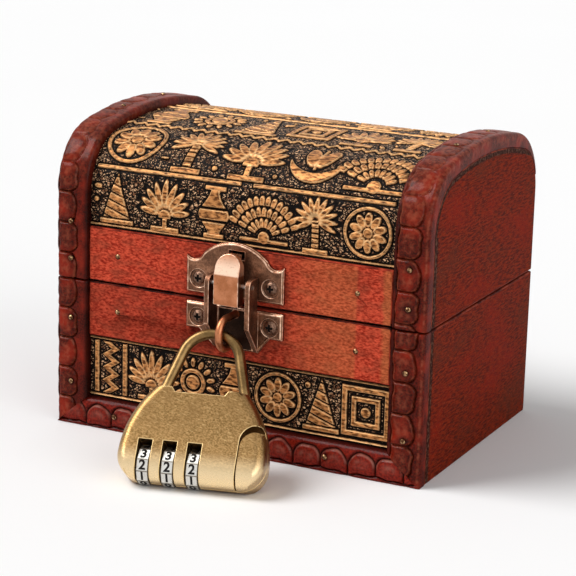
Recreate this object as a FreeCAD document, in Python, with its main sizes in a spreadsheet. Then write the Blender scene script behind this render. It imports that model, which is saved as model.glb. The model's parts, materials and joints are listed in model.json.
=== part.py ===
# Small wooden treasure chest with a hinged barrel lid, a sprung hasp and a three-dial padlock.
# Millimetres, +Z up, front towards -Y, origin on the floor under the middle of the chest.
import FreeCAD, Part
import math
import os
import re
from types import SimpleNamespace
from FreeCAD import Placement, Rotation, Vector

os.makedirs("parts", exist_ok=True)
doc = FreeCAD.newDocument("treasure_chest")
sheet = doc.addObject("Spreadsheet::Sheet", "Sizes")

SIZES = {
    # wooden case
    "chest_width": 108.0, "chest_depth": 76.0, "base_height": 40.8, "lid_height": 43.4,
    "seam_gap": 0.4, "end_thickness": 9.6, "wall_thickness": 4.5, "floor_thickness": 4.0,
    "shell_thickness": 3.0, "corner_radius": 18.0, "crown_radius": 120.0,
    # coverings on the front and over the lid
    "strip_recess": 1.6, "strip_thickness": 2.4, "leather_thickness": 1.4,
    "base_strip_height": 15.0, "lid_strip_height": 14.7, "bottom_trim_height": 8.4,
    "trim_round": 1.2, "trim_tail": 6.0,
    # brass brads
    "brad_shank_radius": 0.4, "brad_length": 1.9, "brad_head_radius": 0.7, "brad_head_height": 0.4,
    # butt hinges on the back
    "hinge_inset": 5.4, "hinge_length": 18.0, "leaf_height": 9.0, "leaf_thickness": 0.8,
    "knuckle_radius": 1.5, "knuckle_gap": 0.15, "hinge_pin_radius": 0.75, "hinge_clearance": 0.3,
    "pin_running": 0.05, "leaf_notch": 0.7, "pin_head_radius": 1.2, "pin_head_height": 0.5,
    # screws
    "leaf_screw_radius": 0.6, "leaf_screw_length": 4.0, "leaf_screw_head_radius": 1.3,
    "leaf_screw_head_height": 0.6, "hasp_screw_radius": 0.9, "hasp_screw_length": 6.0,
    "hasp_screw_head_radius": 1.9, "hasp_screw_head_height": 0.9, "countersink_radius": 2.4,
    "countersink_depth": 0.5, "cross_width": 0.65, "cross_depth": 0.4,
    # hasp plates
    "hasp_offset": 0.8, "plate_shift": -0.6, "hasp_width": 28.4, "plate_thickness": 1.4,
    "plate_bevel": 0.5,
    "lid_plate_foot": 1.4, "lid_plate_side": 10.0, "lid_plate_peak": 14.8, "base_plate_drop": 0.6,
    "base_plate_ear": 7.2, "base_plate_height": 11.4, "hasp_screw_inset": 3.7,
    "lid_screw_rise": 4.0, "base_screw_drop": 4.0,
    # hasp cheeks, lever and ring
    "cheek_opening": 10.4, "cheek_thickness": 1.4, "cheek_reach": 5.2, "cheek_rise": 9.0,
    "cheek_round": 2.2, "cheek_taper": 7.0, "cheek_clearance": 0.4,
    "lever_width": 7.2, "lever_sheet": 1.2, "lever_depth": 3.4, "lever_front": 5.8,
    "lever_foot": 1.2, "lever_crease": 8.0, "lever_head": 5.4, "lever_lean": 2.0,
    "hook_thickness": 1.2, "hook_width": 3.6, "hook_clearance": 0.3, "slot_margin": 0.5,
    "mortise_depth": 1.6,
    "lever_pin_radius": 0.6, "lever_pin_rise": 5.2, "lever_pin_reach": 3.4,
    "lever_spring_wire": 0.2, "lever_spring_turns": 4.0,
    "ring_radius": 3.95, "ring_wire_radius": 1.0, "ring_reach": 5.2, "ring_drop": 5.6,
    # padlock
    "lock_width": 38.0, "lock_height": 24.4, "lock_thickness": 11.0, "lock_arch": 16.9,
    "shackle_radius": 1.4, "leg_spacing": 20.8, "leg_clearance": 0.25, "leg_slack": 0.5,
    "leg_depth": 5.5, "leg_lean": 16.0, "leg_bend": 5.0, "lock_slack": 0.3, "lock_yaw": 14.4,
    "lock_slide": 2.3, "hang_angle": 20.0,
    "lock_corner": 6.5, "lock_round": 2.6, "foot_round": 5.0, "shoulder_half": 12.3,
    "saddle_half": 6.4, "saddle_depth": 1.3, "saddle_slope": 0.9,
    "floor_clearance": 0.05, "shackle_pin_drop": 4.0, "shackle_pin_radius": 0.6,
    "shackle_tail": 1.6, "release_angle": 35.0, "case_gap": 0.1,
    "dial_radius": 5.0, "dial_width": 3.1, "dial_pitch": 6.4, "dial_offset": 5.4,
    "dial_rise": 4.7, "dial_clearance": 0.25, "axle_radius": 1.0, "axle_running": 0.05,
    "window_rise": 5.2, "slider_width": 6.8, "slider_drop": 10.0, "slider_travel": 1.4,
    "slider_corner": 4.2, "slider_clearance": 0.15, "bolt_width": 1.2, "bolt_depth": 2.0,
    "bolt_drop": 5.5, "bolt_overlap": 4.0, "case_screw_radius": 0.8, "case_screw_head_radius": 1.5,
    "case_screw_spread": 13.0, "case_screw_drop": 11.0, "case_screw_length": 7.5,
    # how far every cutting shape runs past what it cuts
    "overrun": 1.0,
}

for row, (word, value) in enumerate(SIZES.items(), start=1):
    sheet.set(f"A{row}", word)
    sheet.set(f"B{row}", str(value))
    sheet.setAlias(f"B{row}", word)
doc.recompute()
s = SimpleNamespace(**{word: float(sheet.get(word)) for word in SIZES})

ALIAS = re.compile(r"\b(" + "|".join(SIZES) + r")\b")
NODES = []
NEAR_SHARE = 0.001
DIAGONAL_SHARE = math.sqrt(0.5)


def bind(item, **sums):
    """Bind properties of an object to sums of sheet cells; x, y and z stand for its position."""
    for name, text in sums.items():
        path = f"Placement.Base.{name}" if name in ("x", "y", "z") else name
        item.setExpression(path, ALIAS.sub(r"Sizes.\1", text))
    return item


def node(item, label):
    """Name a finished sub-part and list it for export."""
    item.Label = label
    NODES.append(item)
    return item


def box(name, Length, Width, Height, x="0", y="0", z="0"):
    """A block with bound sides and a bound corner."""
    item = doc.addObject("Part::Box", name)
    return bind(item, Length=Length, Width=Width, Height=Height, x=x, y=y, z=z)


def held(name, shape):
    """A shape worked out in code, kept as a document object."""
    item = doc.addObject("Part::Feature", name)
    item.Shape = shape
    return item


def drilled(name, base, shapes):
    """A piece with the given solids taken out of it."""
    cut = doc.addObject("Part::Cut", name)
    cut.Base = base
    cut.Tool = held(name + "_drill", Part.makeCompound(shapes))
    return cut


def new_body(name):
    return doc.addObject("PartDesign::Body", name)


def sketch(body, plane, curves, offset="0"):
    """A sketch on one of the body's own planes, moved along that plane's normal."""
    support = next(f for f in body.Origin.OriginFeatures if f.Role == plane)
    item = body.newObject("Sketcher::SketchObject", body.Name + "_sketch")
    item.AttachmentSupport = [(support, "")]
    item.MapMode = "FlatFace"
    item.setExpression("AttachmentOffset.Base.z", ALIAS.sub(r"Sizes.\1", offset))
    for curve in curves:
        item.addGeometry(curve, False)
    return item


def pad(body, profile, length):
    feature = body.newObject("PartDesign::Pad", body.Name + "_pad")
    feature.Profile = profile
    bind(feature, Length=length)
    doc.recompute()
    return feature


def pocket(body, profile, length, reverse=False):
    """A pocket whose direction is proved by the volume that it takes away."""
    before = body.Shape.Volume
    feature = body.newObject("PartDesign::Pocket", body.Name + "_pocket")
    feature.Profile = profile
    feature.Reversed = reverse
    bind(feature, Length=length)
    doc.recompute()
    if not body.Shape.Volume < before:
        raise RuntimeError(f"a pocket of {body.Name} removes nothing")
    return feature


def dressed(body, kind, size, edges):
    """A fillet (Radius) or chamfer (Size) on the named edges of the body so far."""
    base = body.Tip
    feature = body.newObject("PartDesign::" + kind, body.Name + "_" + kind.lower())
    feature.Base = (base, edges)
    bind(feature, **{"Radius" if kind == "Fillet" else "Size": size})
    doc.recompute()
    return feature


def edges_where(body, test):
    return [f"Edge{i}" for i, edge in enumerate(body.Shape.Edges, start=1) if test(edge)]


def near(a, b):
    """True for two lengths that differ by no more than rounding."""
    return abs(a - b) < s.overrun * NEAR_SHARE


def polygon(*points):
    """Straight lines round a closed outline."""
    corners = [Vector(u, v, 0) for u, v in points]
    return [Part.LineSegment(a, b) for a, b in zip(corners, corners[1:] + corners[:1])]


def rectangle(u0, v0, u1, v1):
    return polygon((u0, v0), (u1, v0), (u1, v1), (u0, v1))


def circle(u, v, radius):
    return Part.Circle(Vector(u, v, 0), Vector(0, 0, 1), radius)


def rod(start, direction, radius, length):
    return Part.makeCylinder(radius, length, start, direction)


# Levels and faces that several pieces share
half_width = s.chest_width / 2
half_depth = s.chest_depth / 2
inner_half = half_width - s.end_thickness
trim_thickness = s.strip_recess + s.strip_thickness
lid_foot = s.base_height + s.seam_gap
lid_top = lid_foot + s.lid_height
lid_strip_top = lid_foot + s.lid_strip_height
base_strip_foot = s.base_height - s.base_strip_height
wall_front = -half_depth + trim_thickness
strip_front = -half_depth + s.strip_recess
hinge_axis_y = half_depth + s.knuckle_radius + s.hinge_clearance
hinge_axis_z = s.base_height + s.seam_gap / 2
plate_front = strip_front - s.plate_thickness

INNER_WIDTH = "(chest_width - 2 * end_thickness)"
TRIM = "(strip_recess + strip_thickness)"
LID_FOOT = "(base_height + seam_gap)"


# Screws and brads
def screw(radius, length, head_radius, head_height):
    """A round-headed cross screw along -Z, the underside of its head at zero."""
    dome = (head_radius ** 2 + head_height ** 2) / (2 * head_height)
    cap = Part.makeSphere(dome, Vector(0, 0, head_height - dome))
    body = Part.makeCylinder(head_radius, head_height).common(cap)
    arm = Part.makeBox(head_radius, s.cross_width, head_height)
    arm.translate(Vector(-head_radius / 2, -s.cross_width / 2, head_height - s.cross_depth))
    cross = arm.fuse(arm.rotated(Vector(), Vector(0, 0, 1), 90))
    return body.cut(cross).fuse(rod(Vector(), Vector(0, 0, -1), radius, length)).removeSplitter()


def brad():
    """A small nail along -Z with a domed head."""
    dome = (s.brad_head_radius ** 2 + s.brad_head_height ** 2) / (2 * s.brad_head_height)
    cap = Part.makeSphere(dome, Vector(0, 0, s.brad_head_height - dome))
    head = Part.makeCylinder(s.brad_head_radius, s.brad_head_height).common(cap)
    return head.fuse(rod(Vector(), Vector(0, 0, -1), s.brad_shank_radius, s.brad_length)).removeSplitter()


def set_in(shape, seats):
    """Copies of a fastener, one for each (point, outward direction)."""
    copies = []
    for point, outward in seats:
        fastener = shape.copy()
        fastener.Placement = Placement(point, Rotation(Vector(0, 0, 1), outward))
        copies.append(fastener)
    return copies


def holes_for(radius, length, seats):
    return [rod(point, outward * -1, radius, length) for point, outward in seats]


# The barrel lid's cross-section: a flat crown and two round corners, tangent to each other
def arch(inset, back_inset, foot, tail=None):
    """Curves of the lid's outline in Y and Z, inset from the outside, with its two end points.

    The back corner ends on the back face, or at the height tail above its centre.
    """
    crown_z = lid_top - s.crown_radius
    crown = s.crown_radius - inset
    corner = s.corner_radius - inset

    def centre(y):
        reach = s.crown_radius - s.corner_radius
        return Vector(y, crown_z + math.sqrt(reach ** 2 - y ** 2), 0)

    front, back = centre(-half_depth + inset + corner), centre(half_depth - back_inset - corner)
    axis = Vector(0, crown_z, 0)

    def at(middle, radius, angle):
        return middle + Vector(math.cos(angle), math.sin(angle), 0) * radius

    def heading(middle):
        return math.atan2(middle.y - axis.y, middle.x - axis.x)

    def arc(middle, radius, start, end):
        return Part.Arc(*(at(middle, radius, angle) for angle in (start, (start + end) / 2, end)))

    stop = 0 if tail is None else math.asin(tail / corner)
    first = Vector(-half_depth + inset, foot, 0)
    curves = [
        Part.LineSegment(first, at(front, corner, math.pi)),
        arc(front, corner, math.pi, heading(front)),
        arc(axis, crown, heading(front), heading(back)),
        arc(back, corner, heading(back), stop),
    ]
    last = at(back, corner, stop)
    if tail is None:
        curves.append(Part.LineSegment(last, Vector(last.x, foot, 0)))
        last = Vector(last.x, foot, 0)
    return curves, first, last


def arch_band(outer, inner):
    """A closed outline between two arches."""
    ends = [Part.LineSegment(outer[1], inner[1]), Part.LineSegment(outer[2], inner[2])]
    return outer[0] + inner[0] + ends


# Brads: where each trim and strip is nailed
lean_out = Vector(0, -1, 0)
trim_middle = half_width - s.end_thickness / 2
BASE_TRIM_BRAD_SHARES = (0.3, 0.74)
LID_TRIM_BRAD_SHARES = (0.22, 0.62)
CROWN_BRAD_SHARES = (-0.28, 0.3)
STRIP_BRAD_SHARES = (-0.8, 0.78)
BOTTOM_BRAD_SHARES = (-0.8, -0.1, 0.62)
strip_middles = (base_strip_foot + s.base_strip_height / 2, lid_foot + s.lid_strip_height / 2)


def crown_seat(x, share):
    """A place on the lid's crown, with its outward direction."""
    y = share * half_depth
    z = lid_top - s.crown_radius + math.sqrt(s.crown_radius ** 2 - y ** 2)
    return Vector(x, y, z), Vector(0, y, z - lid_top + s.crown_radius).normalize()


def front_seats(xs, y, zs):
    return [(Vector(x, y, z), lean_out) for x in xs for z in zs]


lid_straight = s.lid_height - s.corner_radius
base_trim_zs = [share * s.base_height for share in BASE_TRIM_BRAD_SHARES]
lid_trim_zs = [lid_foot + share * lid_straight for share in LID_TRIM_BRAD_SHARES]
base_trim_seats = {side: front_seats([side * trim_middle], -half_depth, base_trim_zs) for side in (-1, 1)}
lid_trim_seats = {
    side: front_seats([side * trim_middle], -half_depth, lid_trim_zs)
    + [crown_seat(side * trim_middle, share) for share in CROWN_BRAD_SHARES]
    for side in (-1, 1)
}
strip_xs = [share * inner_half for share in STRIP_BRAD_SHARES]
base_strip_seats = front_seats(strip_xs, strip_front, strip_middles[:1])
lid_strip_seats = front_seats(strip_xs, strip_front, strip_middles[1:])
bottom_xs = [share * inner_half for share in BOTTOM_BRAD_SHARES]
bottom_seats = front_seats(bottom_xs, -half_depth, [s.bottom_trim_height / 2])


def brad_holes(seats):
    return holes_for(s.brad_shank_radius, s.brad_length, seats)


# Screw seats of the hasp and of the hinges
screw_x = s.hasp_width / 2 - s.hasp_screw_inset
plate_mid = s.hasp_offset + s.plate_shift
hasp_xs = [plate_mid + side * screw_x for side in (-1, 1)]
lid_plate_foot = lid_foot + s.lid_plate_foot
base_plate_top = s.base_height - s.base_plate_drop
head_y = plate_front + s.countersink_depth
lid_hasp_seats = front_seats(hasp_xs, head_y, [lid_plate_foot + s.lid_screw_rise])
base_hasp_seats = front_seats(hasp_xs, head_y, [base_plate_top - s.base_screw_drop])
LEAF_SCREW_SHARES = (-0.3, 0.3)
hinge_xs = [side * (inner_half - s.hinge_inset - s.hinge_length / 2) for side in (-1, 1)]
leaf_back = half_depth + s.leaf_thickness
leaf_root = s.knuckle_radius + s.leaf_notch
leaf_mid = (s.leaf_height + leaf_root) / 2


def leaf_seats(way):
    """Screw places on the two leaves below (-1) or above (1) the hinge line."""
    z = hinge_axis_z + way * leaf_mid
    xs = [x + share * s.hinge_length for x in hinge_xs for share in LEAF_SCREW_SHARES]
    return [(Vector(x, leaf_back, z), Vector(0, 1, 0)) for x in xs]


def hasp_holes(seats):
    return holes_for(s.hasp_screw_radius, s.hasp_screw_length, seats)


def leaf_holes(way):
    return holes_for(s.leaf_screw_radius, s.leaf_screw_length, leaf_seats(way))


# The lever's levels, and the keeper slot that its hook drops into
lever_foot = s.base_height + s.lever_foot
lever_crease = lever_foot + s.lever_crease
lever_top = lever_crease + s.lever_head
hook_top = lever_top - s.hook_thickness / 2


def keeper_slot():
    """The slot's low and high corners: through the lid's plate and some way into the strip behind."""
    half = s.hook_width / 2 + s.slot_margin
    return (Vector(s.hasp_offset - half, plate_front, hook_top - s.hook_thickness - s.slot_margin),
            Vector(s.hasp_offset + half, strip_front + s.mortise_depth, hook_top + s.slot_margin))


# Base: floor, four walls
def make_base_case():
    board = box("floor", INNER_WIDTH, "chest_depth - " + TRIM + " - 2 * wall_thickness", "floor_thickness",
                "end_thickness - chest_width / 2", TRIM + " + wall_thickness - chest_depth / 2")
    node(board, "base_floor")
    front = box("front_wall", INNER_WIDTH, "wall_thickness", "base_height",
                "end_thickness - chest_width / 2", TRIM + " - chest_depth / 2")
    node(drilled("drilled_front_wall", front, hasp_holes(base_hasp_seats)), "base_front_wall")
    back = box("back_wall", INNER_WIDTH, "wall_thickness", "base_height",
               "end_thickness - chest_width / 2", "chest_depth / 2 - wall_thickness")
    node(drilled("drilled_back_wall", back, leaf_holes(-1)), "base_back_wall")
    for label, x in (("left", "-chest_width / 2"), ("right", "chest_width / 2 - end_thickness")):
        panel = box(f"base_{label}_panel", "end_thickness", "chest_depth - " + TRIM, "base_height",
                    x, TRIM + " - chest_depth / 2")
        node(panel, f"base_{label}_end")


# Base: painted strip, embossed strip and the moulded trims round the front
def make_base_front():
    strip = box("base_strip", INNER_WIDTH, "strip_thickness", "base_strip_height",
                "end_thickness - chest_width / 2", "strip_recess - chest_depth / 2",
                "base_height - base_strip_height")
    node(drilled("drilled_base_strip", strip, hasp_holes(base_hasp_seats) + brad_holes(base_strip_seats)),
         "base_front_strip")
    covering = box("embossed_strip", INNER_WIDTH, "leather_thickness",
                   "base_height - base_strip_height - bottom_trim_height",
                   "end_thickness - chest_width / 2",
                   TRIM + " - leather_thickness - chest_depth / 2", "bottom_trim_height")
    node(covering, "base_embossed_strip")
    for label, side in (("left", -1), ("right", 1)):
        body = new_body(f"base_{label}_upright")
        outline = polygon((side * half_width, 0), (side * half_width, s.base_height),
                          (side * inner_half, s.base_height), (side * inner_half, s.bottom_trim_height))
        pad(body, sketch(body, "XZ_Plane", outline, "chest_depth / 2 - " + TRIM), TRIM)
        round_front(body)
        nailed = drilled(f"drilled_base_{label}", body, brad_holes(base_trim_seats[side]))
        node(nailed, f"base_{label}_trim")
    body = new_body("bottom_moulding")
    outline = polygon((-half_width, 0), (half_width, 0), (inner_half, s.bottom_trim_height),
                      (-inner_half, s.bottom_trim_height))
    pad(body, sketch(body, "XZ_Plane", outline, "chest_depth / 2 - " + TRIM), TRIM)
    dressed(body, "Fillet", "trim_round", edges_where(body, lambda e: near(e.BoundBox.YMax, -half_depth)
                                                      and near(e.BoundBox.ZMin, s.bottom_trim_height)))
    node(drilled("drilled_bottom", body, brad_holes(bottom_seats)), "base_bottom_trim")


def round_front(body):
    """Round the two upright front edges of a trim."""
    def upright(edge):
        return near(edge.BoundBox.YMax, -half_depth) and near(edge.BoundBox.XLength, 0)
    dressed(body, "Fillet", "trim_round", edges_where(body, upright))


# Lid: end panels, front and back walls, bent shell and its leather
def make_lid_case():
    for label, side in (("left", -1), ("right", 1)):
        body = new_body(f"lid_{label}_panel")
        curves, first, last = arch(trim_thickness, 0, lid_foot)
        start = "-chest_width / 2" if side < 0 else "chest_width / 2 - end_thickness"
        outline = curves + [Part.LineSegment(last, first)]
        pad(body, sketch(body, "YZ_Plane", outline, start), "end_thickness")
        node(body, f"lid_{label}_end")
    front = box("lid_front", INNER_WIDTH, "wall_thickness", "lid_strip_height",
                "end_thickness - chest_width / 2", TRIM + " - chest_depth / 2", LID_FOOT)
    node(drilled("drilled_lid_front", front, hasp_holes(lid_hasp_seats)), "lid_front_wall")
    back = box("lid_back", INNER_WIDTH, "wall_thickness", "lid_strip_height",
               "end_thickness - chest_width / 2", "chest_depth / 2 - wall_thickness", LID_FOOT)
    node(drilled("drilled_lid_back", back, leaf_holes(1)), "lid_back_wall")
    under, over = s.leather_thickness, s.leather_thickness + s.shell_thickness
    shell_outer = arch(trim_thickness, under, lid_strip_top)
    shell_inner = arch(trim_thickness + s.shell_thickness, over, lid_strip_top)
    leather_outer = arch(trim_thickness - s.leather_thickness, 0, lid_strip_top)
    for label, outline in (("lid_shell", arch_band(shell_outer, shell_inner)),
                           ("lid_leather", arch_band(leather_outer, shell_outer))):
        body = new_body(label + "_bent")
        pad(body, sketch(body, "YZ_Plane", outline, "end_thickness - chest_width / 2"), INNER_WIDTH)
        node(body, label)


# Lid: painted strip and the moulded trims that follow the arch
def make_lid_front():
    strip = box("lid_strip", INNER_WIDTH, "strip_thickness", "lid_strip_height",
                "end_thickness - chest_width / 2", "strip_recess - chest_depth / 2", LID_FOOT)
    low, high = keeper_slot()
    mortise = Part.makeBox(*(high - low), low)
    holes = hasp_holes(lid_hasp_seats) + brad_holes(lid_strip_seats) + [mortise]
    node(drilled("drilled_lid_strip", strip, holes), "lid_front_strip")
    outer, inner = arch(0, 0, lid_foot, s.trim_tail), arch(trim_thickness, 0, lid_foot, s.trim_tail)
    outer_edge = Part.Wire([curve.toShape() for curve in outer[0]])

    def follows_arch(edge):
        middle = edge.valueAt((edge.FirstParameter + edge.LastParameter) / 2)
        flat = Part.Vertex(Vector(middle.y, middle.z, 0))
        return near(edge.BoundBox.XLength, 0) and near(outer_edge.distToShape(flat)[0], 0)

    for label, side in (("left", -1), ("right", 1)):
        body = new_body(f"lid_{label}_band")
        start = "-chest_width / 2" if side < 0 else "chest_width / 2 - end_thickness"
        pad(body, sketch(body, "YZ_Plane", arch_band(outer, inner), start), "end_thickness")
        dressed(body, "Fillet", "trim_round", edges_where(body, follows_arch))
        nailed = drilled(f"drilled_lid_{label}", body, brad_holes(lid_trim_seats[side]))
        node(nailed, f"lid_{label}_trim")


def make_brads():
    base_seats = base_trim_seats[-1] + base_trim_seats[1] + base_strip_seats + bottom_seats
    lid_seats = lid_trim_seats[-1] + lid_trim_seats[1] + lid_strip_seats
    node(held("base_nails", Part.makeCompound(set_in(brad(), base_seats))), "base_brads")
    node(held("lid_nails", Part.makeCompound(set_in(brad(), lid_seats))), "lid_brads")


# Hinges: two leaves, a pin and four screws each
KNUCKLES = {-1: (0, 2), 1: (1,)}
KNUCKLE_COUNT = 3


def hinge_axis(x):
    return Vector(x, hinge_axis_y, hinge_axis_z)


def knuckle(x, index, way):
    """One roll round the pin, with the tab that joins it to its leaf below (-1) or above (1)."""
    share = s.hinge_length / KNUCKLE_COUNT
    left = x - s.hinge_length / 2 + index * share
    start = left + (s.knuckle_gap / 2 if index else 0)
    end = left + share - (s.knuckle_gap / 2 if index < KNUCKLE_COUNT - 1 else 0)
    tab = Part.makeBox(end - start, s.leaf_thickness, leaf_root)
    tab.translate(Vector(start, half_depth, hinge_axis_z - (leaf_root if way < 0 else 0)))
    return [tab, rod(hinge_axis(start), Vector(1, 0, 0), s.knuckle_radius, end - start)]


def hinge_leaf(x, way):
    """A leaf with its knuckles, bored for the pin and the screws; the lid's knuckle turns on the pin."""
    plate = Part.makeBox(s.hinge_length, s.leaf_thickness, s.leaf_height - leaf_root)
    foot = hinge_axis_z + (leaf_root if way > 0 else -s.leaf_height)
    plate.translate(Vector(x - s.hinge_length / 2, half_depth, foot))
    rolls = [piece for index in KNUCKLES[way] for piece in knuckle(x, index, way)]
    bore = s.hinge_pin_radius + (s.pin_running if way > 0 else 0)
    length = s.hinge_length + 2 * s.overrun
    seats = [seat for seat in leaf_seats(way) if abs(seat[0].x - x) < s.hinge_length]
    holes = holes_for(s.leaf_screw_radius, s.leaf_screw_length, seats)
    holes.append(rod(hinge_axis(x - length / 2), Vector(1, 0, 0), bore, length))
    return plate.fuse(rolls).cut(Part.makeCompound(holes)).removeSplitter()


def hinge_pin(x):
    start, end = hinge_axis(x - s.hinge_length / 2), hinge_axis(x + s.hinge_length / 2)
    heads = [rod(start, Vector(-1, 0, 0), s.pin_head_radius, s.pin_head_height),
             rod(end, Vector(1, 0, 0), s.pin_head_radius, s.pin_head_height)]
    return rod(start, Vector(1, 0, 0), s.hinge_pin_radius, s.hinge_length).fuse(heads).removeSplitter()


def make_hinge(label, x):
    node(held(f"{label}_lower_leaf", hinge_leaf(x, -1)), f"{label}_hinge_base_leaf")
    node(held(f"{label}_upper_leaf", hinge_leaf(x, 1)), f"{label}_hinge_lid_leaf")
    node(held(f"{label}_pin", hinge_pin(x)), f"{label}_hinge_pin")


def make_hinges():
    for label, x in zip(("left", "right"), hinge_xs):
        make_hinge(label, x)
    shape = screw(s.leaf_screw_radius, s.leaf_screw_length,
                  s.leaf_screw_head_radius, s.leaf_screw_head_height)
    node(held("base_leaf_screws", Part.makeCompound(set_in(shape, leaf_seats(-1)))), "hinge_base_screws")
    node(held("lid_leaf_screws", Part.makeCompound(set_in(shape, leaf_seats(1)))), "hinge_lid_screws")


# Hasp: a plate on the lid, a plate with two cheeks on the base
PLATE_DEPTH = "chest_depth / 2 - strip_recess"
HORN_SHARES = (0.9, 0.66)
HORN_DIP_SHARE = 0.18
lever_face = plate_front - s.lever_front
pin_y = plate_front - s.lever_pin_reach
pin_z = lever_foot + s.lever_pin_rise
ring_z = base_plate_top - s.ring_drop
ring_bend_y = plate_front - s.ring_reach


def screw_seats_in(body, seats):
    """Countersunk holes for a plate's screws."""
    for radius, depth in ((s.countersink_radius, "countersink_depth"),
                          (s.hasp_screw_radius, "plate_thickness")):
        rings = [circle(point.x, point.z, radius) for point, _ in seats]
        pocket(body, sketch(body, "XZ_Plane", rings, PLATE_DEPTH + " + plate_thickness"), depth)


def make_lid_plate():
    side, foot = s.hasp_width / 2, lid_plate_foot
    horn, peak = foot + s.lid_plate_side, foot + s.lid_plate_peak
    rise = s.lid_plate_peak - s.lid_plate_side
    mid = plate_mid

    def spot(share, z):
        return Vector(mid + share * side, z, 0)

    curves = polygon((mid - side, horn), (mid - side, foot), (mid + side, foot), (mid + side, horn))[:3]
    tip, dip = HORN_SHARES
    hollow = horn - HORN_DIP_SHARE * rise
    shoulder = horn + HORN_DIP_SHARE * rise
    for way in (-1, 1):
        curves.append(Part.Arc(spot(way, horn), spot(way * tip, hollow), spot(way * dip, shoulder)))
    curves.append(Part.Arc(spot(-dip, shoulder), spot(0, peak), spot(dip, shoulder)))
    body = new_body("lid_hasp")
    pad(body, sketch(body, "XZ_Plane", curves, PLATE_DEPTH), "plate_thickness")
    bevel_plate(body)
    screw_seats_in(body, lid_hasp_seats)
    low, high = keeper_slot()
    keeper = rectangle(low.x, low.z, high.x, high.z)
    pocket(body, sketch(body, "XZ_Plane", keeper, PLATE_DEPTH + " + plate_thickness"), "plate_thickness")
    node(body, "hasp_lid_plate")


def bevel_plate(body):
    """Bevel the outline of a plate's front face."""
    def on_front(edge):
        return near(edge.BoundBox.YMax, plate_front)
    dressed(body, "Chamfer", "plate_bevel", edges_where(body, on_front))


cheek_outer = s.cheek_opening / 2 + s.cheek_thickness
base_plate_foot = base_plate_top - s.base_plate_height


def base_plate_outline():
    """A wide plate with two ears, narrowing to the cheeks' width at its foot."""
    side, mid, middle = s.hasp_width / 2, plate_mid, s.hasp_offset
    ear = base_plate_top - s.base_plate_ear
    knee = (side + cheek_outer) / 2
    return polygon((mid - side, base_plate_top), (mid - side, ear), (mid - knee, ear),
                   (middle - cheek_outer, base_plate_foot), (middle + cheek_outer, base_plate_foot),
                   (mid + knee, ear), (mid + side, ear), (mid + side, base_plate_top))


def cheek_outline():
    """Side view of a cheek: it stands clear of the lid's plate and tapers off towards the foot."""
    tip, root = plate_front - s.cheek_reach, plate_front + s.plate_bevel
    top, heel = base_plate_top + s.cheek_rise, base_plate_foot + s.plate_bevel
    clear = plate_front - s.cheek_clearance
    corner = Vector(tip + s.cheek_round, top - s.cheek_round, 0)
    bow = s.cheek_round * DIAGONAL_SHARE
    nose = Part.Arc(Vector(tip, corner.y, 0), corner + Vector(-bow, bow, 0), Vector(corner.x, top, 0))
    sides = polygon((corner.x, top), (clear, top), (clear, base_plate_top),
                    (root, base_plate_top - s.plate_bevel), (root, heel), (plate_front, heel),
                    (tip, heel + s.cheek_taper), (tip, corner.y))
    return [nose] + sides[:-1]


def make_base_plate():
    body = new_body("base_hasp")
    pad(body, sketch(body, "XZ_Plane", base_plate_outline(), PLATE_DEPTH), "plate_thickness")
    bevel_plate(body)
    screw_seats_in(body, base_hasp_seats)
    for start in ("hasp_offset - cheek_opening / 2 - cheek_thickness", "hasp_offset + cheek_opening / 2"):
        pad(body, sketch(body, "YZ_Plane", cheek_outline(), start), "cheek_thickness")
    bore = sketch(body, "YZ_Plane", [circle(pin_y, pin_z, s.lever_pin_radius)],
                  "hasp_offset + cheek_opening / 2 + cheek_thickness")
    pocket(body, bore, "cheek_opening + 2 * cheek_thickness")
    legs = [circle(s.hasp_offset, ring_z + way * s.ring_radius, s.ring_wire_radius) for way in (-1, 1)]
    pocket(body, sketch(body, "XZ_Plane", legs, PLATE_DEPTH + " + plate_thickness"), "plate_thickness")
    node(body, "hasp_base_plate")


# Hasp: the sprung lever between the cheeks, its pin and its coil spring
def lever_outline():
    """Side view of the lever: an upright face and a head that leans back to the hook."""
    back, head_face = lever_face + s.lever_depth, lever_face + s.lever_lean
    return polygon((lever_face, lever_foot), (lever_face, lever_crease), (head_face, lever_top),
                   (head_face + s.lever_sheet, lever_top), (back, lever_crease), (back, lever_foot))


def round_lever_head(body):
    """Take the two corners off the head, in front view."""
    mid, half = s.hasp_offset, s.lever_width / 2
    spring, over = lever_top - half, lever_top + s.overrun
    bow = half * DIAGONAL_SHARE
    for way in (-1, 1):
        edge = mid + way * half
        bend = Part.Arc(Vector(edge, spring, 0), Vector(mid + way * bow, spring + bow, 0),
                        Vector(mid, lever_top, 0))
        far = edge + way * s.overrun
        rim = polygon((mid, lever_top), (mid, over), (far, over), (far, spring), (edge, spring))[:-1]
        pocket(body, sketch(body, "XZ_Plane", [bend] + rim), "chest_depth", True)


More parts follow.
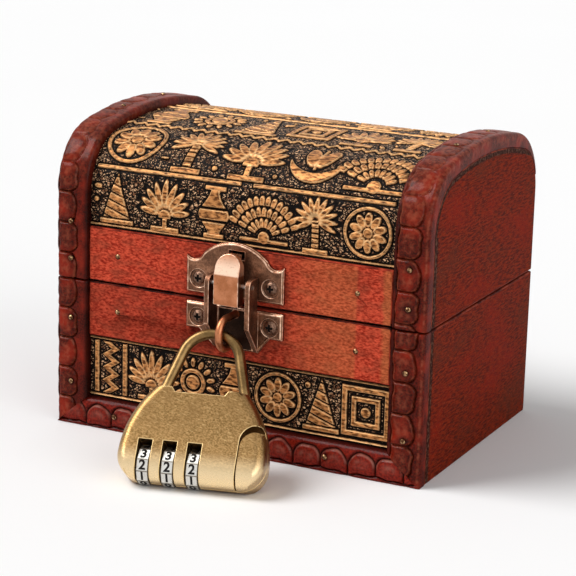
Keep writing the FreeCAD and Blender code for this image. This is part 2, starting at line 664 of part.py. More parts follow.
def make_lever():
    body = new_body("lever")
    pad(body, sketch(body, "YZ_Plane", lever_outline(), "hasp_offset - lever_width / 2"), "lever_width")
    hollow = rectangle(lever_face + s.lever_sheet, lever_foot - s.overrun,
                       lever_face + s.lever_depth + s.overrun, lever_crease - s.lever_sheet)
    pocket(body, sketch(body, "YZ_Plane", hollow, "hasp_offset + lever_width / 2 - lever_sheet"),
           "lever_width - 2 * lever_sheet")
    bore = sketch(body, "YZ_Plane", [circle(pin_y, pin_z, s.lever_pin_radius + s.pin_running)],
                  "hasp_offset + lever_width / 2")
    pocket(body, bore, "lever_width")
    round_lever_head(body)
    hook = rectangle(lever_face + s.lever_lean, hook_top - s.hook_thickness,
                     plate_front - s.hook_clearance, hook_top)
    pad(body, sketch(body, "YZ_Plane", hook, "hasp_offset - hook_width / 2"), "hook_width")
    node(body, "hasp_lever")
    start = Vector(s.hasp_offset - cheek_outer, pin_y, pin_z)
    pin = rod(start, Vector(1, 0, 0), s.lever_pin_radius, 2 * cheek_outer)
    node(held("lever_rod", pin), "hasp_lever_pin")
    make_lever_spring()


def make_lever_spring():
    """A coil round the lever's pin, between the lever's side walls."""
    wire = s.lever_spring_wire
    radius = s.lever_pin_radius + 2 * s.pin_running + wire
    length = s.lever_width - 2 * s.lever_sheet - 4 * wire
    helix = Part.makeHelix(length / s.lever_spring_turns, length, radius)
    profile = Part.Wire(Part.makeCircle(wire, Vector(radius, 0, 0), Vector(0, 1, 0)))
    coil = Part.Wire(helix).makePipeShell([profile], True, True)
    item = held("lever_coil", coil)
    start = Vector(s.hasp_offset - length / 2, pin_y, pin_z)
    item.Placement = Placement(start, Rotation(Vector(0, 0, 1), Vector(1, 0, 0)))
    node(item, "hasp_lever_spring")


def make_ring():
    """The copper staple: a half ring with two legs riveted in the plate."""
    middle = Vector(s.hasp_offset, ring_bend_y, ring_z)
    up = Vector(0, 0, s.ring_radius)
    bend = Part.Arc(middle + up, middle + Vector(0, -s.ring_radius, 0), middle - up)
    leg = Vector(0, s.ring_reach + s.plate_thickness, 0)
    path = Part.Wire([Part.LineSegment(middle + up + leg, middle + up).toShape(), bend.toShape(),
                      Part.LineSegment(middle - up, middle - up + leg).toShape()])
    profile = Part.Wire(Part.makeCircle(s.ring_wire_radius, middle + up + leg, Vector(0, -1, 0)))
    node(held("staple", path.makePipeShell([profile], True, False)), "hasp_ring")


def make_hasp():
    make_lid_plate()
    make_base_plate()
    make_lever()
    make_ring()
    shape = screw(s.hasp_screw_radius, s.hasp_screw_length,
                  s.hasp_screw_head_radius, s.hasp_screw_head_height)
    node(held("lid_plate_screws", Part.makeCompound(set_in(shape, lid_hasp_seats))), "hasp_lid_screws")
    node(held("base_plate_screws", Part.makeCompound(set_in(shape, base_hasp_seats))), "hasp_base_screws")


# Padlock: drawn upright with the top of its shackle's wire at the origin, then leant on the floor
lock_shoulder = -s.lock_arch
lock_foot = lock_shoulder - s.lock_height
half_lock = s.lock_thickness / 2
leg_x = s.leg_spacing / 2
shackle_pin_z = lock_shoulder - s.shackle_pin_drop
leg_way = s.shackle_radius + s.leg_clearance
axle_z = lock_foot + s.dial_rise
DIAL_SIDES = 10
dial_xs = [-s.dial_offset + step * s.dial_pitch for step in (-1, 0, 1)]
slider_x = s.lock_width / 2 - s.slider_width
slider_top = lock_shoulder - s.slider_drop
axle_length = (len(dial_xs) - 1) * s.dial_pitch + s.dial_width + 4 * s.dial_clearance + 2 * s.axle_radius
axle_start = Vector(-s.dial_offset - axle_length / 2, 0, axle_z)


def knee_place(lean):
    """Where a leg's lower bend has turned through that angle, from the middle of the lock."""
    return (leg_x - s.leg_bend * (1 - math.cos(lean)),
            lock_shoulder + s.leg_clearance + s.leg_bend * math.sin(lean))


leg_lean = math.radians(s.leg_lean)
knee_x, knee_z = knee_place(leg_lean)
crown_bend = (knee_x * math.cos(leg_lean) + knee_z * math.sin(leg_lean)) / (1 - math.sin(leg_lean))
crown_seat = Vector(s.lock_slide, 0, math.sqrt(crown_bend ** 2 - s.lock_slide ** 2) - crown_bend)


def lock_pivot():
    """The middle of the shackle's wire where it lies in the ring."""
    slack = s.ring_radius - s.ring_wire_radius - s.shackle_radius - s.lock_slack
    hang = math.radians(s.hang_angle)
    return Vector(s.hasp_offset, ring_bend_y - slack * math.cos(hang), ring_z - slack * math.sin(hang))


def lock_placement():
    """Hang the shackle's crown in the ring and lean the lock out until its back edge meets the floor."""
    pivot = lock_pivot()
    back, down = half_lock - s.foot_round, crown_seat.z - lock_foot - s.foot_round
    fall = pivot.z - s.foot_round - s.floor_clearance
    lean = math.atan2(back, down) + math.acos(fall / math.hypot(back, down))
    turn = Rotation(Vector(0, 0, 1), s.lock_yaw).multiply(Rotation(Vector(1, 0, 0), -math.degrees(lean)))
    return Placement(pivot - turn.multVec(crown_seat), turn)


def lock_outline():
    """The bag-shaped front view: a flat foot, round corners and flanks that bow in to the shoulders."""
    half, shoulder = s.lock_width / 2, s.shoulder_half
    corner = s.lock_corner
    bow = corner * (1 - DIAGONAL_SHARE)
    flank = lock_foot + corner
    rise = lock_shoulder - flank
    sweep = (rise ** 2 + (half - shoulder) ** 2) / (2 * (half - shoulder))
    lean = math.asin(rise / sweep) / 2
    middle = half - sweep * (1 - math.cos(lean))

    def arc(way, *points):
        return Part.Arc(*(Vector(way * x, z, 0) for x, z in points))

    curves = [Part.LineSegment(Vector(-half + corner, lock_foot, 0), Vector(half - corner, lock_foot, 0)),
              Part.LineSegment(Vector(-shoulder, lock_shoulder, 0), Vector(shoulder, lock_shoulder, 0))]
    for way in (-1, 1):
        curves.append(arc(way, (half - corner, lock_foot), (half - bow, lock_foot + bow), (half, flank)))
        curves.append(arc(way, (half, flank), (middle, flank + sweep * math.sin(lean)),
                          (shoulder, lock_shoulder)))
    return curves


def round_foot(body, way):
    """Round off the case along its foot, at the front (-1) or the back (1)."""
    face, over = way * half_lock, way * (half_lock + s.overrun)
    radius, below = s.foot_round, lock_foot - s.overrun
    centre = Vector(face - way * radius, lock_foot + radius, 0)
    bow = Vector(way, -1, 0) * (radius * DIAGONAL_SHARE)
    bend = Part.Arc(Vector(face, centre.y, 0), centre + bow, Vector(centre.x, lock_foot, 0))
    rim = polygon((centre.x, lock_foot), (centre.x, below), (over, below), (over, centre.y),
                  (face, centre.y))[:-1]
    pocket(body, sketch(body, "YZ_Plane", [bend] + rim, "lock_width"), "2 * lock_width")


def slider_edge(low_x, radius, top, far):
    """A waste outline's edge up the slider's left side, round its top corner and out to the right."""
    centre = Vector(slider_x + s.slider_corner, top - radius, 0)
    bow = Vector(-1, 1, 0) * (radius * DIAGONAL_SHARE)
    side = Vector(low_x, centre.y, 0)
    crest = Vector(centre.x, top, 0)
    return [Part.LineSegment(Vector(low_x, lock_foot - s.overrun, 0), side),
            Part.Arc(side, centre + bow, crest), Part.LineSegment(crest, Vector(far, top, 0))]


def on_lock_rim(edge, way):
    """Whether an edge bounds the lock's front (-1) or back (1) face, other than along its shoulder."""
    box, face = edge.BoundBox, way * half_lock
    return near(box.YMin, face) and near(box.YMax, face) and not near(box.ZMin, lock_shoulder)


def case_half(name, front):
    """One half of the case with its rounded outside, cut for the shackle, the dials and the axle."""
    body = new_body(name)
    lift = "case_gap / 2" if front else "-lock_thickness / 2"
    pad(body, sketch(body, "XZ_Plane", lock_outline(), lift), "lock_thickness / 2 - case_gap / 2")
    way = -1 if front else 1
    dressed(body, "Fillet", "lock_round", edges_where(body, lambda edge: on_lock_rim(edge, way)))
    round_foot(body, way)
    inside = "case_gap / 2" if front else "-case_gap / 2"

    def cut(curves, depth):
        pocket(body, sketch(body, "XZ_Plane", curves, inside), depth, front)

    low, wide = lock_shoulder - s.saddle_depth, s.saddle_half + s.saddle_slope
    over = lock_shoulder + s.overrun
    cut(polygon((-wide, over), (-wide, lock_shoulder), (-s.saddle_half, low), (s.saddle_half, low),
                (wide, lock_shoulder), (wide, over)), "lock_thickness")
    cut(shackle_swing(), "shackle_radius + leg_clearance")
    cut([circle(-leg_x, shackle_pin_z, math.hypot(s.shackle_tail, s.shackle_radius) + s.leg_clearance)],
        "shackle_radius + leg_clearance")
    cut(rectangle(leg_x - leg_way - s.leg_slack, lock_shoulder - s.leg_depth - s.leg_clearance,
                  leg_x + leg_way, lock_shoulder + s.overrun), "shackle_radius + leg_clearance")
    cut([circle(-leg_x, shackle_pin_z, s.shackle_pin_radius)], "lock_thickness / 2 - lock_round / 2")
    return body, cut


def shackle_swing():
    """The wedge that the hinged leg sweeps as the case drops away from the shackle."""
    angle = math.radians(s.release_angle)
    far = s.lock_width / 2
    low = Vector(-leg_x, shackle_pin_z, 0) - Vector(math.cos(angle), math.sin(angle), 0) * leg_way
    run = (low.x + far) / math.sin(angle)
    top = lock_shoulder + s.overrun
    outside = Vector(-far, low.y + run * math.cos(angle), 0)
    return polygon((-leg_x + leg_way, shackle_pin_z), (-leg_x + leg_way, top), (-far, top),
                   (outside.x, min(outside.y, lock_shoulder)), (low.x, low.y))


def dial_bays(windows):
    """Round bays for the dials and a bore for their axle; windows open them through the face and foot."""
    wide = s.dial_width + 2 * s.dial_clearance
    reach = s.dial_radius + s.dial_clearance
    lefts = [x - wide / 2 for x in dial_xs]
    tools = [rod(Vector(left, 0, axle_z), Vector(1, 0, 0), reach, wide) for left in lefts]
    tools.append(rod(axle_start, Vector(1, 0, 0), s.axle_radius, axle_length))
    if windows:
        tall = s.dial_rise + s.window_rise + s.overrun
        corners = [Vector(left, -s.lock_thickness, lock_foot - s.overrun) for left in lefts]
        tools += [Part.makeBox(wide, s.lock_thickness, tall, corner) for corner in corners]
    return tools


def make_front_case(place):
    body, cut = case_half("front_half", True)
    edge = slider_x - s.slider_clearance
    ceiling = slider_top + s.slider_travel + s.slider_clearance
    far, below = s.lock_width, lock_foot - s.overrun
    bay = slider_edge(edge, s.slider_corner + s.slider_clearance, ceiling, far)
    cut(bay + polygon((far, ceiling), (far, below), (edge, below))[:-1], "lock_thickness")
    finish_case(drilled("front_half_cut", body, dial_bays(True) + case_screw_holes()),
                "lock_front_case", place)


def make_rear_case(place):
    body, cut = case_half("rear_half", False)
    gap = s.slider_clearance
    bar = bolt_left() - gap
    cut(rectangle(bar, slider_top - s.bolt_overlap - gap, bar + s.bolt_width + 2 * gap,
                  lock_shoulder - s.bolt_drop + s.slider_travel + gap), "bolt_depth + slider_clearance")
    finish_case(drilled("rear_half_cut", body, dial_bays(False) + case_screw_holes()),
                "lock_rear_case", place)


def finish_case(item, label, place):
    """Copy a finished case half into the lock's leaning place."""
    doc.recompute()
    moved = held(label + "_placed", item.Shape.removeSplitter())
    moved.Placement = place
    node(moved, label)


def case_screw_seats():
    z = lock_shoulder - s.case_screw_drop
    xs = (-s.case_screw_spread / 2, s.case_screw_spread / 2)
    return [(Vector(x, half_lock, z), Vector(0, 1, 0)) for x in xs]


def case_screw_holes():
    return holes_for(s.case_screw_radius, s.case_screw_length, case_screw_seats())


def bolt_left():
    return leg_x + leg_way + s.slider_clearance


def make_slider(place):
    """The thumb slider that fills the case's lower right corner, with its bolt behind it."""
    body = new_body("slider")
    block = sketch(body, "XZ_Plane", lock_outline(), "case_gap / 2")
    pad(body, block, "lock_thickness / 2 - case_gap / 2")
    dressed(body, "Fillet", "lock_round", edges_where(body, lambda edge: on_lock_rim(edge, -1)))
    round_foot(body, -1)
    far, below, over = s.lock_width, lock_foot - s.overrun, lock_shoulder + s.overrun
    waste = slider_edge(slider_x, s.slider_corner, slider_top, far)
    waste += polygon((far, slider_top), (far, over), (-far, over), (-far, below), (slider_x, below))[:-1]
    pocket(body, sketch(body, "XZ_Plane", waste, "0"), "lock_thickness", True)
    body.Placement = place
    node(body, "lock_slider")
    x = bolt_left()
    corner = Vector(x, -s.case_gap / 2, slider_top - s.bolt_overlap)
    rise = lock_shoulder - s.bolt_drop - corner.z
    bar = Part.makeBox(s.bolt_width, s.bolt_depth + s.case_gap / 2, rise, corner)
    item = held("bolt_bar", bar)
    item.Placement = place
    node(item, "lock_bolt")


def shackle_side(way, end):
    """One leg (-1 left, 1 right) from its end: upright, bent inwards above the shoulder, straight."""
    spots = [(leg_x, end), knee_place(0), knee_place(leg_lean / 2), knee_place(leg_lean),
             (crown_bend * math.cos(leg_lean), crown_bend * (math.sin(leg_lean) - 1))]
    foot, bend, elbow, knee, top = (Vector(way * x, 0, z) for x, z in spots)
    return [Part.LineSegment(foot, bend), Part.Arc(bend, elbow, knee), Part.LineSegment(knee, top)], top


def shackle_path():
    """Both legs, and the round crown that joins them with its top at the origin."""
    left, left_top = shackle_side(-1, shackle_pin_z - s.shackle_tail)
    right, right_top = shackle_side(1, lock_shoulder - s.leg_depth)
    curves = left + [Part.Arc(left_top, Vector(), right_top)] + right[::-1]
    return Part.Wire([curve.toShape() for curve in curves])


def make_shackle(place):
    foot = Vector(-leg_x, 0, shackle_pin_z - s.shackle_tail)
    profile = Part.Wire(Part.makeCircle(s.shackle_radius, foot, Vector(0, 0, 1)))
    wire = shackle_path().makePipeShell([profile], True, False)
    bore = rod(Vector(-leg_x, -s.lock_thickness, shackle_pin_z), Vector(0, 1, 0),
               s.shackle_pin_radius + s.pin_running, 2 * s.lock_thickness)
    item = held("shackle_wire", wire.cut(bore))
    item.Placement = place
    node(item, "lock_shackle")
    reach = s.lock_thickness - s.lock_round
    pin = held("shackle_rod", rod(Vector(-leg_x, -reach / 2, shackle_pin_z), Vector(0, 1, 0),
                                  s.shackle_pin_radius, reach))
    pin.Placement = place
    node(pin, "lock_shackle_pin")


def dial_drum(x):
    """A ten-sided drum that turns on the axle, one flat for each digit."""
    steps = [2 * math.pi * side / DIAL_SIDES for side in range(DIAL_SIDES + 1)]
    left = x - s.dial_width / 2
    rim = [Vector(left, s.dial_radius * math.cos(a), axle_z + s.dial_radius * math.sin(a)) for a in steps]
    drum = Part.Face(Part.makePolygon(rim)).extrude(Vector(s.dial_width, 0, 0))
    bore = s.axle_radius + s.axle_running
    return drum.cut(rod(Vector(left, 0, axle_z), Vector(1, 0, 0), bore, s.dial_width))


def make_dials(place):
    for label, x in zip(("left", "middle", "right"), dial_xs):
        item = held(f"{label}_drum", dial_drum(x))
        item.Placement = place
        node(item, f"lock_{label}_dial")
    axle = held("dial_rod", rod(axle_start, Vector(1, 0, 0), s.axle_radius, axle_length))
    axle.Placement = place
    node(axle, "lock_dial_axle")


def make_padlock():
    place = lock_placement()
    make_shackle(place)
    make_front_case(place)
    make_rear_case(place)
    make_slider(place)
    make_dials(place)
    shape = screw(s.case_screw_radius, s.case_screw_length,
                  s.case_screw_head_radius, s.leaf_screw_head_height)
    item = held("case_screw_set", Part.makeCompound(set_in(shape, case_screw_seats())))
    item.Placement = place
    node(item, "lock_case_screws")


def check_and_export():
    """Stop on any failed object or shape, then write one file for each sub-part."""
    doc.recompute()
    for item in doc.Objects:
        if {"Invalid", "Error"} & set(item.State):
            raise RuntimeError(f"{item.Name} failed: {item.State}")
    for item in NODES:
        if item.Shape.isNull() or not item.Shape.isValid() or not item.Shape.Solids:
            raise RuntimeError(f"{item.Label} has no valid solid")
    for item in NODES:
        item.Shape.exportStep(f"parts/{item.Label}.step")


make_base_case()
make_base_front()
make_lid_case()
make_lid_front()
make_brads()
make_hinges()
make_hasp()
make_padlock()
check_and_export()
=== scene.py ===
import json
import math

import bmesh
import bpy
import numpy as np
from mathutils import Matrix, Vector


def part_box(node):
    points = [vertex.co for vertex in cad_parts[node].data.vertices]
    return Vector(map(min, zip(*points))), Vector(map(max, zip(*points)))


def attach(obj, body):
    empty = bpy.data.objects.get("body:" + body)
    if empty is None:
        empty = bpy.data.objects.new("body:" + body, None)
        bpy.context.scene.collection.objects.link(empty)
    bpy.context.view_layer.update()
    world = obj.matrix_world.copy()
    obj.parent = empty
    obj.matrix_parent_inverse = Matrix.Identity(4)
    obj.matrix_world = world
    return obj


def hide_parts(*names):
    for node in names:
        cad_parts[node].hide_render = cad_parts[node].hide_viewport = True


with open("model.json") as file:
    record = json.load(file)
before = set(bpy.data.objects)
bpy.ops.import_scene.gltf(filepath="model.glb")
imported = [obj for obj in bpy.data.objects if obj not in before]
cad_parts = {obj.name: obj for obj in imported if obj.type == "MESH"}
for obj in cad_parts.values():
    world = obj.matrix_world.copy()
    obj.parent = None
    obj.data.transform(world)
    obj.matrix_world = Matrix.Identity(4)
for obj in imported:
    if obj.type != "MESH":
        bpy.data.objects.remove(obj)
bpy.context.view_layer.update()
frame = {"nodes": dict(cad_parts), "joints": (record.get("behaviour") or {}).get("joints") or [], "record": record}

# A small wooden treasure chest with a barrel lid, a sprung hasp and a three-dial padlock on its ring.
# Metres; the front faces -y and the chest stands on z = 0.
nodes = frame["nodes"]
body_of = {node: body for body, members in frame["record"]["behaviour"]["bodies"].items() for node in members}


# Carcase: the floor, the front and back walls and the lid's bent shell, of thin board stained brown.
# They are glued between the end panels, and little of them shows while the lid is shut.
class Wire:
    """A value in a material's node tree. Sums on wires add Math nodes, with | for the greater of two, and add()
    makes any other node."""

    def __init__(self, tree, socket=None):
        self.tree, self.socket = tree, socket

    def add(self, kind, settings=None, sockets=None, out=0):
        """A node of that type: its settings first, then its sockets' values or links. Gives one output."""
        node = self.tree.nodes.new("ShaderNode" + kind)
        for name, value in (settings or {}).items():
            setattr(node, name, value)
        for name, value in (sockets or {}).items():
            if isinstance(value, Wire):
                self.tree.links.new(value.socket, node.inputs[name])
            else:
                node.inputs[name].default_value = value
        return Wire(self.tree, node.outputs[out])

    def sum(self, operation, first, second):
        return self.add("Math", {"operation": operation}, {0: first, 1: second})

    def __add__(self, other):
        return self.sum("ADD", self, other)

    def __sub__(self, other):
        return self.sum("SUBTRACT", self, other)

    def __rsub__(self, other):
        return self.sum("SUBTRACT", other, self)

    def __mul__(self, other):
        return self.sum("MULTIPLY", self, other)

    def __or__(self, other):
        return self.sum("MAXIMUM", self, other)

    def __abs__(self):
        return self.sum("ABSOLUTE", self, 0.0)

    __radd__, __rmul__ = __add__, __mul__

    def above(self, low, high):
        """0 below low, 1 above high, and a smooth rise between."""
        limits = {"Value": self, "From Min": low, "From Max": high}
        return self.add("MapRange", {"interpolation_type": "SMOOTHSTEP"}, limits)

    def band(self, start, full, fade, end):
        """0 below start, 1 from full to fade, and 0 again above end."""
        return self.above(start, full) * (1 - self.above(fade, end))

    def noise(self, grain, detail=2.0, stretch=(1, 1, 1), twist=0.0):
        """Soft noise from 0 to 1 on these coordinates, grain metres across and drawn out by stretch."""
        drawn = tuple(1 / (grain * part) for part in stretch)
        spread = self.add("Mapping", None, {"Vector": self, "Scale": drawn})
        settings = {"Vector": spread, "Scale": 1.0, "Detail": detail, "Distortion": twist}
        return spread.add("TexNoise", None, settings)

    def axis(self, name):
        """One coordinate of these coordinates."""
        return self.add("SeparateXYZ", None, {0: self}, name)

    def carried(self, name):
        """A value that the mesh carries at every point, under that name."""
        return self.add("Attribute", {"attribute_name": name}, None, "Fac")

    def between(self, first, second):
        """The colour between two colours, wires or three screen values each, by this value from 0 to 1."""
        first, second = (end if isinstance(end, Wire) else paint(*end) for end in (first, second))
        return self.add("Mix", {"data_type": "RGBA"}, {0: self, 6: first, 7: second}, 2)

    def bump(self, depth):
        """A normal from this height, whose range from 0 to 1 stands for that depth."""
        return self.add("Bump", None, {"Height": self, "Distance": depth, "Strength": 1.0})


VARYING = ("Base Color", "Roughness", "Normal", "Metallic")
GLOSS = "Specular IOR Level"


def paint(red, green, blue):
    """A colour as it looks on a screen, 0 to 255 each, as the linear colour that a socket takes."""
    parts = red, green, blue
    return (*(((part / 255 + 0.055) / 1.055) ** 2.4 if part > 10 else part / 3295 for part in parts), 1)


def finish(name, look, fixed):
    """A material: look(place) gives what changes over its surface, in VARYING's order, and fixed what doesn't."""
    material = bpy.data.materials.new(name)
    material.use_nodes = True
    shader = material.node_tree.nodes["Principled BSDF"]
    place = Wire(material.node_tree).add("TexCoord", None, None, "Object")
    for socket, value in {**fixed, **dict(zip(VARYING, look(place)))}.items():
        if isinstance(value, Wire):
            material.node_tree.links.new(value.socket, shader.inputs[socket])
        else:
            shader.inputs[socket].default_value = value
    return material


def finished(fixed):
    """Turns a look into the finish of its name, with these fixed sockets."""
    return lambda look: finish(look.__name__, look, fixed)


def linked(name, data):
    """A new object of that data, linked into the scene."""
    thing = bpy.data.objects.new(name, data)
    bpy.context.scene.collection.objects.link(thing)
    return thing


def fit(name, mesh, finishes, *stands_for):
    """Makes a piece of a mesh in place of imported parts: it takes their body and its finishes."""
    piece = linked(name, mesh)
    for material in finishes:
        mesh.materials.append(material)
    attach(piece, body_of[stands_for[0]])
    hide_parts(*stands_for)
    return piece


FLAT = math.radians(0.6)
SHARP = math.radians(32)


def joined(node):
    """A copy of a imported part's mesh, its loose triangles joined to whole faces."""
    mesh = bpy.data.meshes.new(node + "_joined")
    work = bmesh.new()
    work.from_mesh(nodes[node].data)
    bmesh.ops.remove_doubles(work, verts=work.verts, dist=1e-6)
    bmesh.ops.dissolve_limit(work, angle_limit=FLAT, verts=work.verts, edges=work.edges)
    work.to_mesh(mesh)
    work.free()
    mesh.materials.clear()
    mesh.polygons.foreach_set("material_index", np.zeros(len(mesh.polygons), int))
    mesh.shade_smooth()
    mesh.set_sharp_from_angle(angle=SHARP)
    return mesh


def eased(node, finishes, ease):
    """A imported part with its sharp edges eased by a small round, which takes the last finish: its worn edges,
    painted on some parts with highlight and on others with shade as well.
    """
    piece = fit(node + "_eased", joined(node), finishes, node)
    rounds = piece.modifiers.new("eased edges", "BEVEL")
    rounds.width, rounds.segments = ease, 2
    rounds.limit_method, rounds.angle_limit = "ANGLE", SHARP
    rounds.use_clamp_overlap, rounds.harden_normals = False, True
    rounds.material = len(finishes) - 1
    return piece


@finished({GLOSS: 0.1})
def stained_wood(place):
    """Brown stain: fine grain along x, over broad lighter and darker streaks."""
    grain = place.noise(0.0009, 6, (14, 1, 1))
    streaks = place.noise(0.006, 3, (5, 1, 1))
    tone = (grain * 0.6 + streaks * 0.5).above(0.3, 0.8)
    colour = tone.between((58, 32, 22), (124, 76, 50))
    return colour, 0.78 - tone * 0.2, grain.bump(0.00012)


for board in ("base_floor", "base_front_wall", "base_back_wall", "lid_front_wall", "lid_back_wall", "lid_shell"):
    eased(board, [stained_wood], 0.00025)


# End panels: four thick boards of close-grained wood, lacquered red-brown, that carry the whole box.
# The lid's two are sawn to the arch; the lacquer is thin, so grain and redder wood show through it.
JOINT = 0.0018
FRONT_JOINT = 0.0030
PANEL_EDGE = 0.034
CORNER_CENTRE = (-0.020, 0.06462)
CORNER_REACH = 0.014
CROWN_CENTRE = -0.0354
CROWN_REACH = 0.116
HAIR = 0.0001


@finished({GLOSS: 0.02})
def lacquered_panel(place):
    """Red-brown lacquer: short, fine grain along y with dark pores and pale flecks in it, and soft clouds, redder
    where it is thin and browner where it is dusty.

    Against the trims runs a dark joint with dust in it: up the front edge, then round the corner and the crown
    at their radii from their centres."""
    y, z = place.axis("Y"), place.axis("Z")
    grain = place.noise(0.0005, 6, (1, 6, 1))
    pores = place.noise(0.00028, 3, (1, 4, 1)).above(0.54, 0.7)
    flecks = place.noise(0.0003, 2, (1, 3, 1)).above(0.58, 0.7)
    clouds = place.noise(0.012, 4, (1, 2, 1))
    dust = place.noise(0.0009, 6).above(0.42, 0.7)
    deep = grain.above(0.32, 0.68).between((70, 17, 7), (134, 41, 17))
    thin = (clouds.above(0.48, 0.72) * 0.6).between(deep, (136, 29, 12))
    dull = (0.5 - clouds.above(0.3, 0.5) * 0.5).between(thin, (92, 40, 22))
    worn = (flecks * 0.5).between(dull, (154, 76, 40))
    aside, over = y - CORNER_CENTRE[0], z - CORNER_CENTRE[1]
    rise = z - CROWN_CENTRE
    corner, crown = (
        (flat * flat + tall * tall).above((reach - JOINT) ** 2, (reach - JOINT * 0.8) ** 2)
        for flat, tall, reach in ((aside, over, CORNER_REACH), (y, rise, CROWN_REACH))
    )
    upper, past = (distance.above(0, HAIR) for distance in (over, aside))
    front = (1 - (y + PANEL_EDGE).above(FRONT_JOINT * 0.6, FRONT_JOINT)) * (1 - upper)
    corner = corner * upper * (1 - past)
    joint = front | corner | crown
    dusty = (dust * 0.45).between((30, 12, 8), (140, 100, 78))
    colour = (joint * 0.9).between((pores * 0.6).between(worn, (54, 14, 8)), dusty)
    return colour, 0.5 + grain * 0.2, (grain - pores * 0.5 - joint).bump(0.00006)


def patchy(first, second, noise, roughness, change, limits=None, depth=None):
    """A look of soft patches between two colours: noise of that grain and detail, from 0 to 1 between the limits.

    The patches change the roughness as well, and where a depth is given they stand out by it."""

    def look(place):
        patches = place.noise(*noise)
        patches = patches.above(*limits) if limits else patches
        raised = () if depth is None else (patches.bump(depth),)
        return patches.between(first, second), patches * change + roughness, *raised

    return look


rubbed_wood = patchy((60, 18, 11), (140, 54, 32), (0.004, 5), 0.6, -0.1, (0.38, 0.66))
panel_edge = finish("panel_edge", rubbed_wood, {GLOSS: 0.05})
for panel in ("base_left_end", "base_right_end", "lid_left_end", "lid_right_end"):
    eased(panel, [lacquered_panel, panel_edge], 0.0004)


# Painted strips: one under and one over the seam, the red paint of each rubbed through towards the right.
# Both are nailed across the front between the end panels, and the hasp is screwed to them.
HASP_MIDDLE = 0.0008


@finished({GLOSS: 0.04})
def red_paint(place):
    """Speckled red, dulled brown in soft patches, that turns to bare orange wood short of a repainted block.

    It is darker with smudges round the hasp, and darker with painted shade on the left under the seam. Behind
    the face, in the seam and the keeper's mortise, the wood is painted black as shade."""
    x, y, z = (place.axis(axis) for axis in "XYZ")
    wander = (place.noise(0.003, 4) - 0.5) * 0.008
    speckle = place.noise(0.00042, 6, (2.2, 1, 1))
    mottle = place.noise(0.003, 6, (1.8, 1, 1)).above(0.42, 0.7)
    paled = (x + wander).above(0.010, 0.028) * (1 - x.above(0.0340, 0.0350))
    end = (x + wander * 0.3).above(0.0412, 0.0424)
    red = speckle.above(0.31, 0.69).between((138, 33, 19), (216, 85, 59))
    dull = (mottle * 0.5).between(red, (126, 58, 40))
    smudge = (1 - abs(x - HASP_MIDDLE).above(0.0125, 0.0185)) * place.noise(0.002, 5).above(0.36, 0.6)
    # Painted shade on the left, under the seam.
    shade = (1 - x.above(-0.020, 0.004)) * (1 - z.above(0.0406, 0.0414))
    smudged_and_shaded = (smudge * 0.45 + shade * 0.22).between(dull, (58, 20, 14))
    wood = speckle.above(0.2, 0.8).between((136, 66, 36), (204, 116, 70))
    shown = (paled * 0.5 + end * 0.7).between(smudged_and_shaded, wood)
    # Faces behind the front, in the seam and the mortise, are painted black as shade.
    colour = y.above(-0.0360, -0.0356).between(shown, (22, 9, 6))
    return colour, 0.46 + speckle * 0.2, speckle.bump(0.00006)


@finished({GLOSS: 0.05})
def worn_and_shaded_edge(place):
    """A strip's worn edge: red in patches over dark wood, and painted black as shade along the seam and round the
    keeper.
    """
    x, z = place.axis("X"), place.axis("Z")
    patches = place.noise(0.004, 5).above(0.38, 0.66)
    paled = patches.between((96, 26, 16), (190, 70, 46))
    # Painted shade: black in the seam's gap and round the keeper's slot.
    seam = z.band(0.0398, 0.0402, 0.0418, 0.0422) * (0.95 - patches * 0.35)
    keeper = x.band(-0.0034, -0.0030, 0.0046, 0.0050)
    return (seam | keeper).between(paled, (22, 8, 5)), 0.5 - patches * 0.12


for strip in ("base_front_strip", "lid_front_strip"):
    eased(strip, [red_paint, worn_and_shaded_edge], 0.0004)


# Upright and arched trims: mouldings carved with a row of pillows and lacquered like the panels.
# The base's are mitred to the foot; the lid's follow the arch and thin out to nothing at the back corner.
EDGE_ROUND = 0.0012
END_ROUND = 0.0006
FAR_OFF = 1.0
CREASE = math.radians(50)
PILLOW_PITCH = 0.00838
PILLOW_CORNER = 0.0028
PILLOW_EASE = 0.0024
PILLOW_RISE = 0.0012
GROOVE = 0.00036
PILLOW_FRONT = 0.0004
NAIL_DENT = 0.0010
VARNISH = {GLOSS: 0.02, "Coat Weight": 0.14, "Coat Roughness": 0.16}


def pillows(along, across, pitch, flat, reach, corner):
    """How far each place lies inside a carved pillow, in metres, and below 0 on the plain band past the row.

    A pillow is a block one pitch long, flat on its near side, with its two far corners rounded: the corner's
    radius less the distance to a block that is smaller by that radius."""
    end = np.abs((along / pitch) % 1 - 0.5) * pitch - pitch / 2 + corner
    side = across - flat - reach + corner
    outside = np.hypot(np.clip(end, 0, None), np.clip(side, 0, None)) + np.minimum(np.maximum(end, side), 0)
    return np.minimum(corner - outside, across - flat + PILLOW_FRONT)


def uneven(along):
    """A carver's wander, across the row: two slow waves along it."""
    return 0.00022 * np.sin(along * 420) + 0.00018 * np.sin(along * 1130 + 1)


def bell(value, middle, width):
    """A bell curve: 1 at the middle, falling off to either side over that width."""
    return np.exp(-(((value - middle) / width) ** 2))


def nailed(along, across, places):
    """Dents round the nails, from 0 to 1: a bell curve of the distance to the nearest one."""
    distances = [np.hypot(along - place, across - aside) for place, aside in places]
    return bell(np.minimum.reduce(distances), 0, NAIL_DENT)


def carved(inside, dents):
    """How far the carving lies under the face: cushions that fall to their rims, a groove there, and dents."""
    rim = np.clip(1 - inside / PILLOW_EASE, 0, 1)
    cushion = np.where(inside > 0, 0.55 * rim**2, 0.35)
    return PILLOW_RISE * (cushion + 0.4 * bell(inside, 0, GROOVE) + 0.35 * dents)


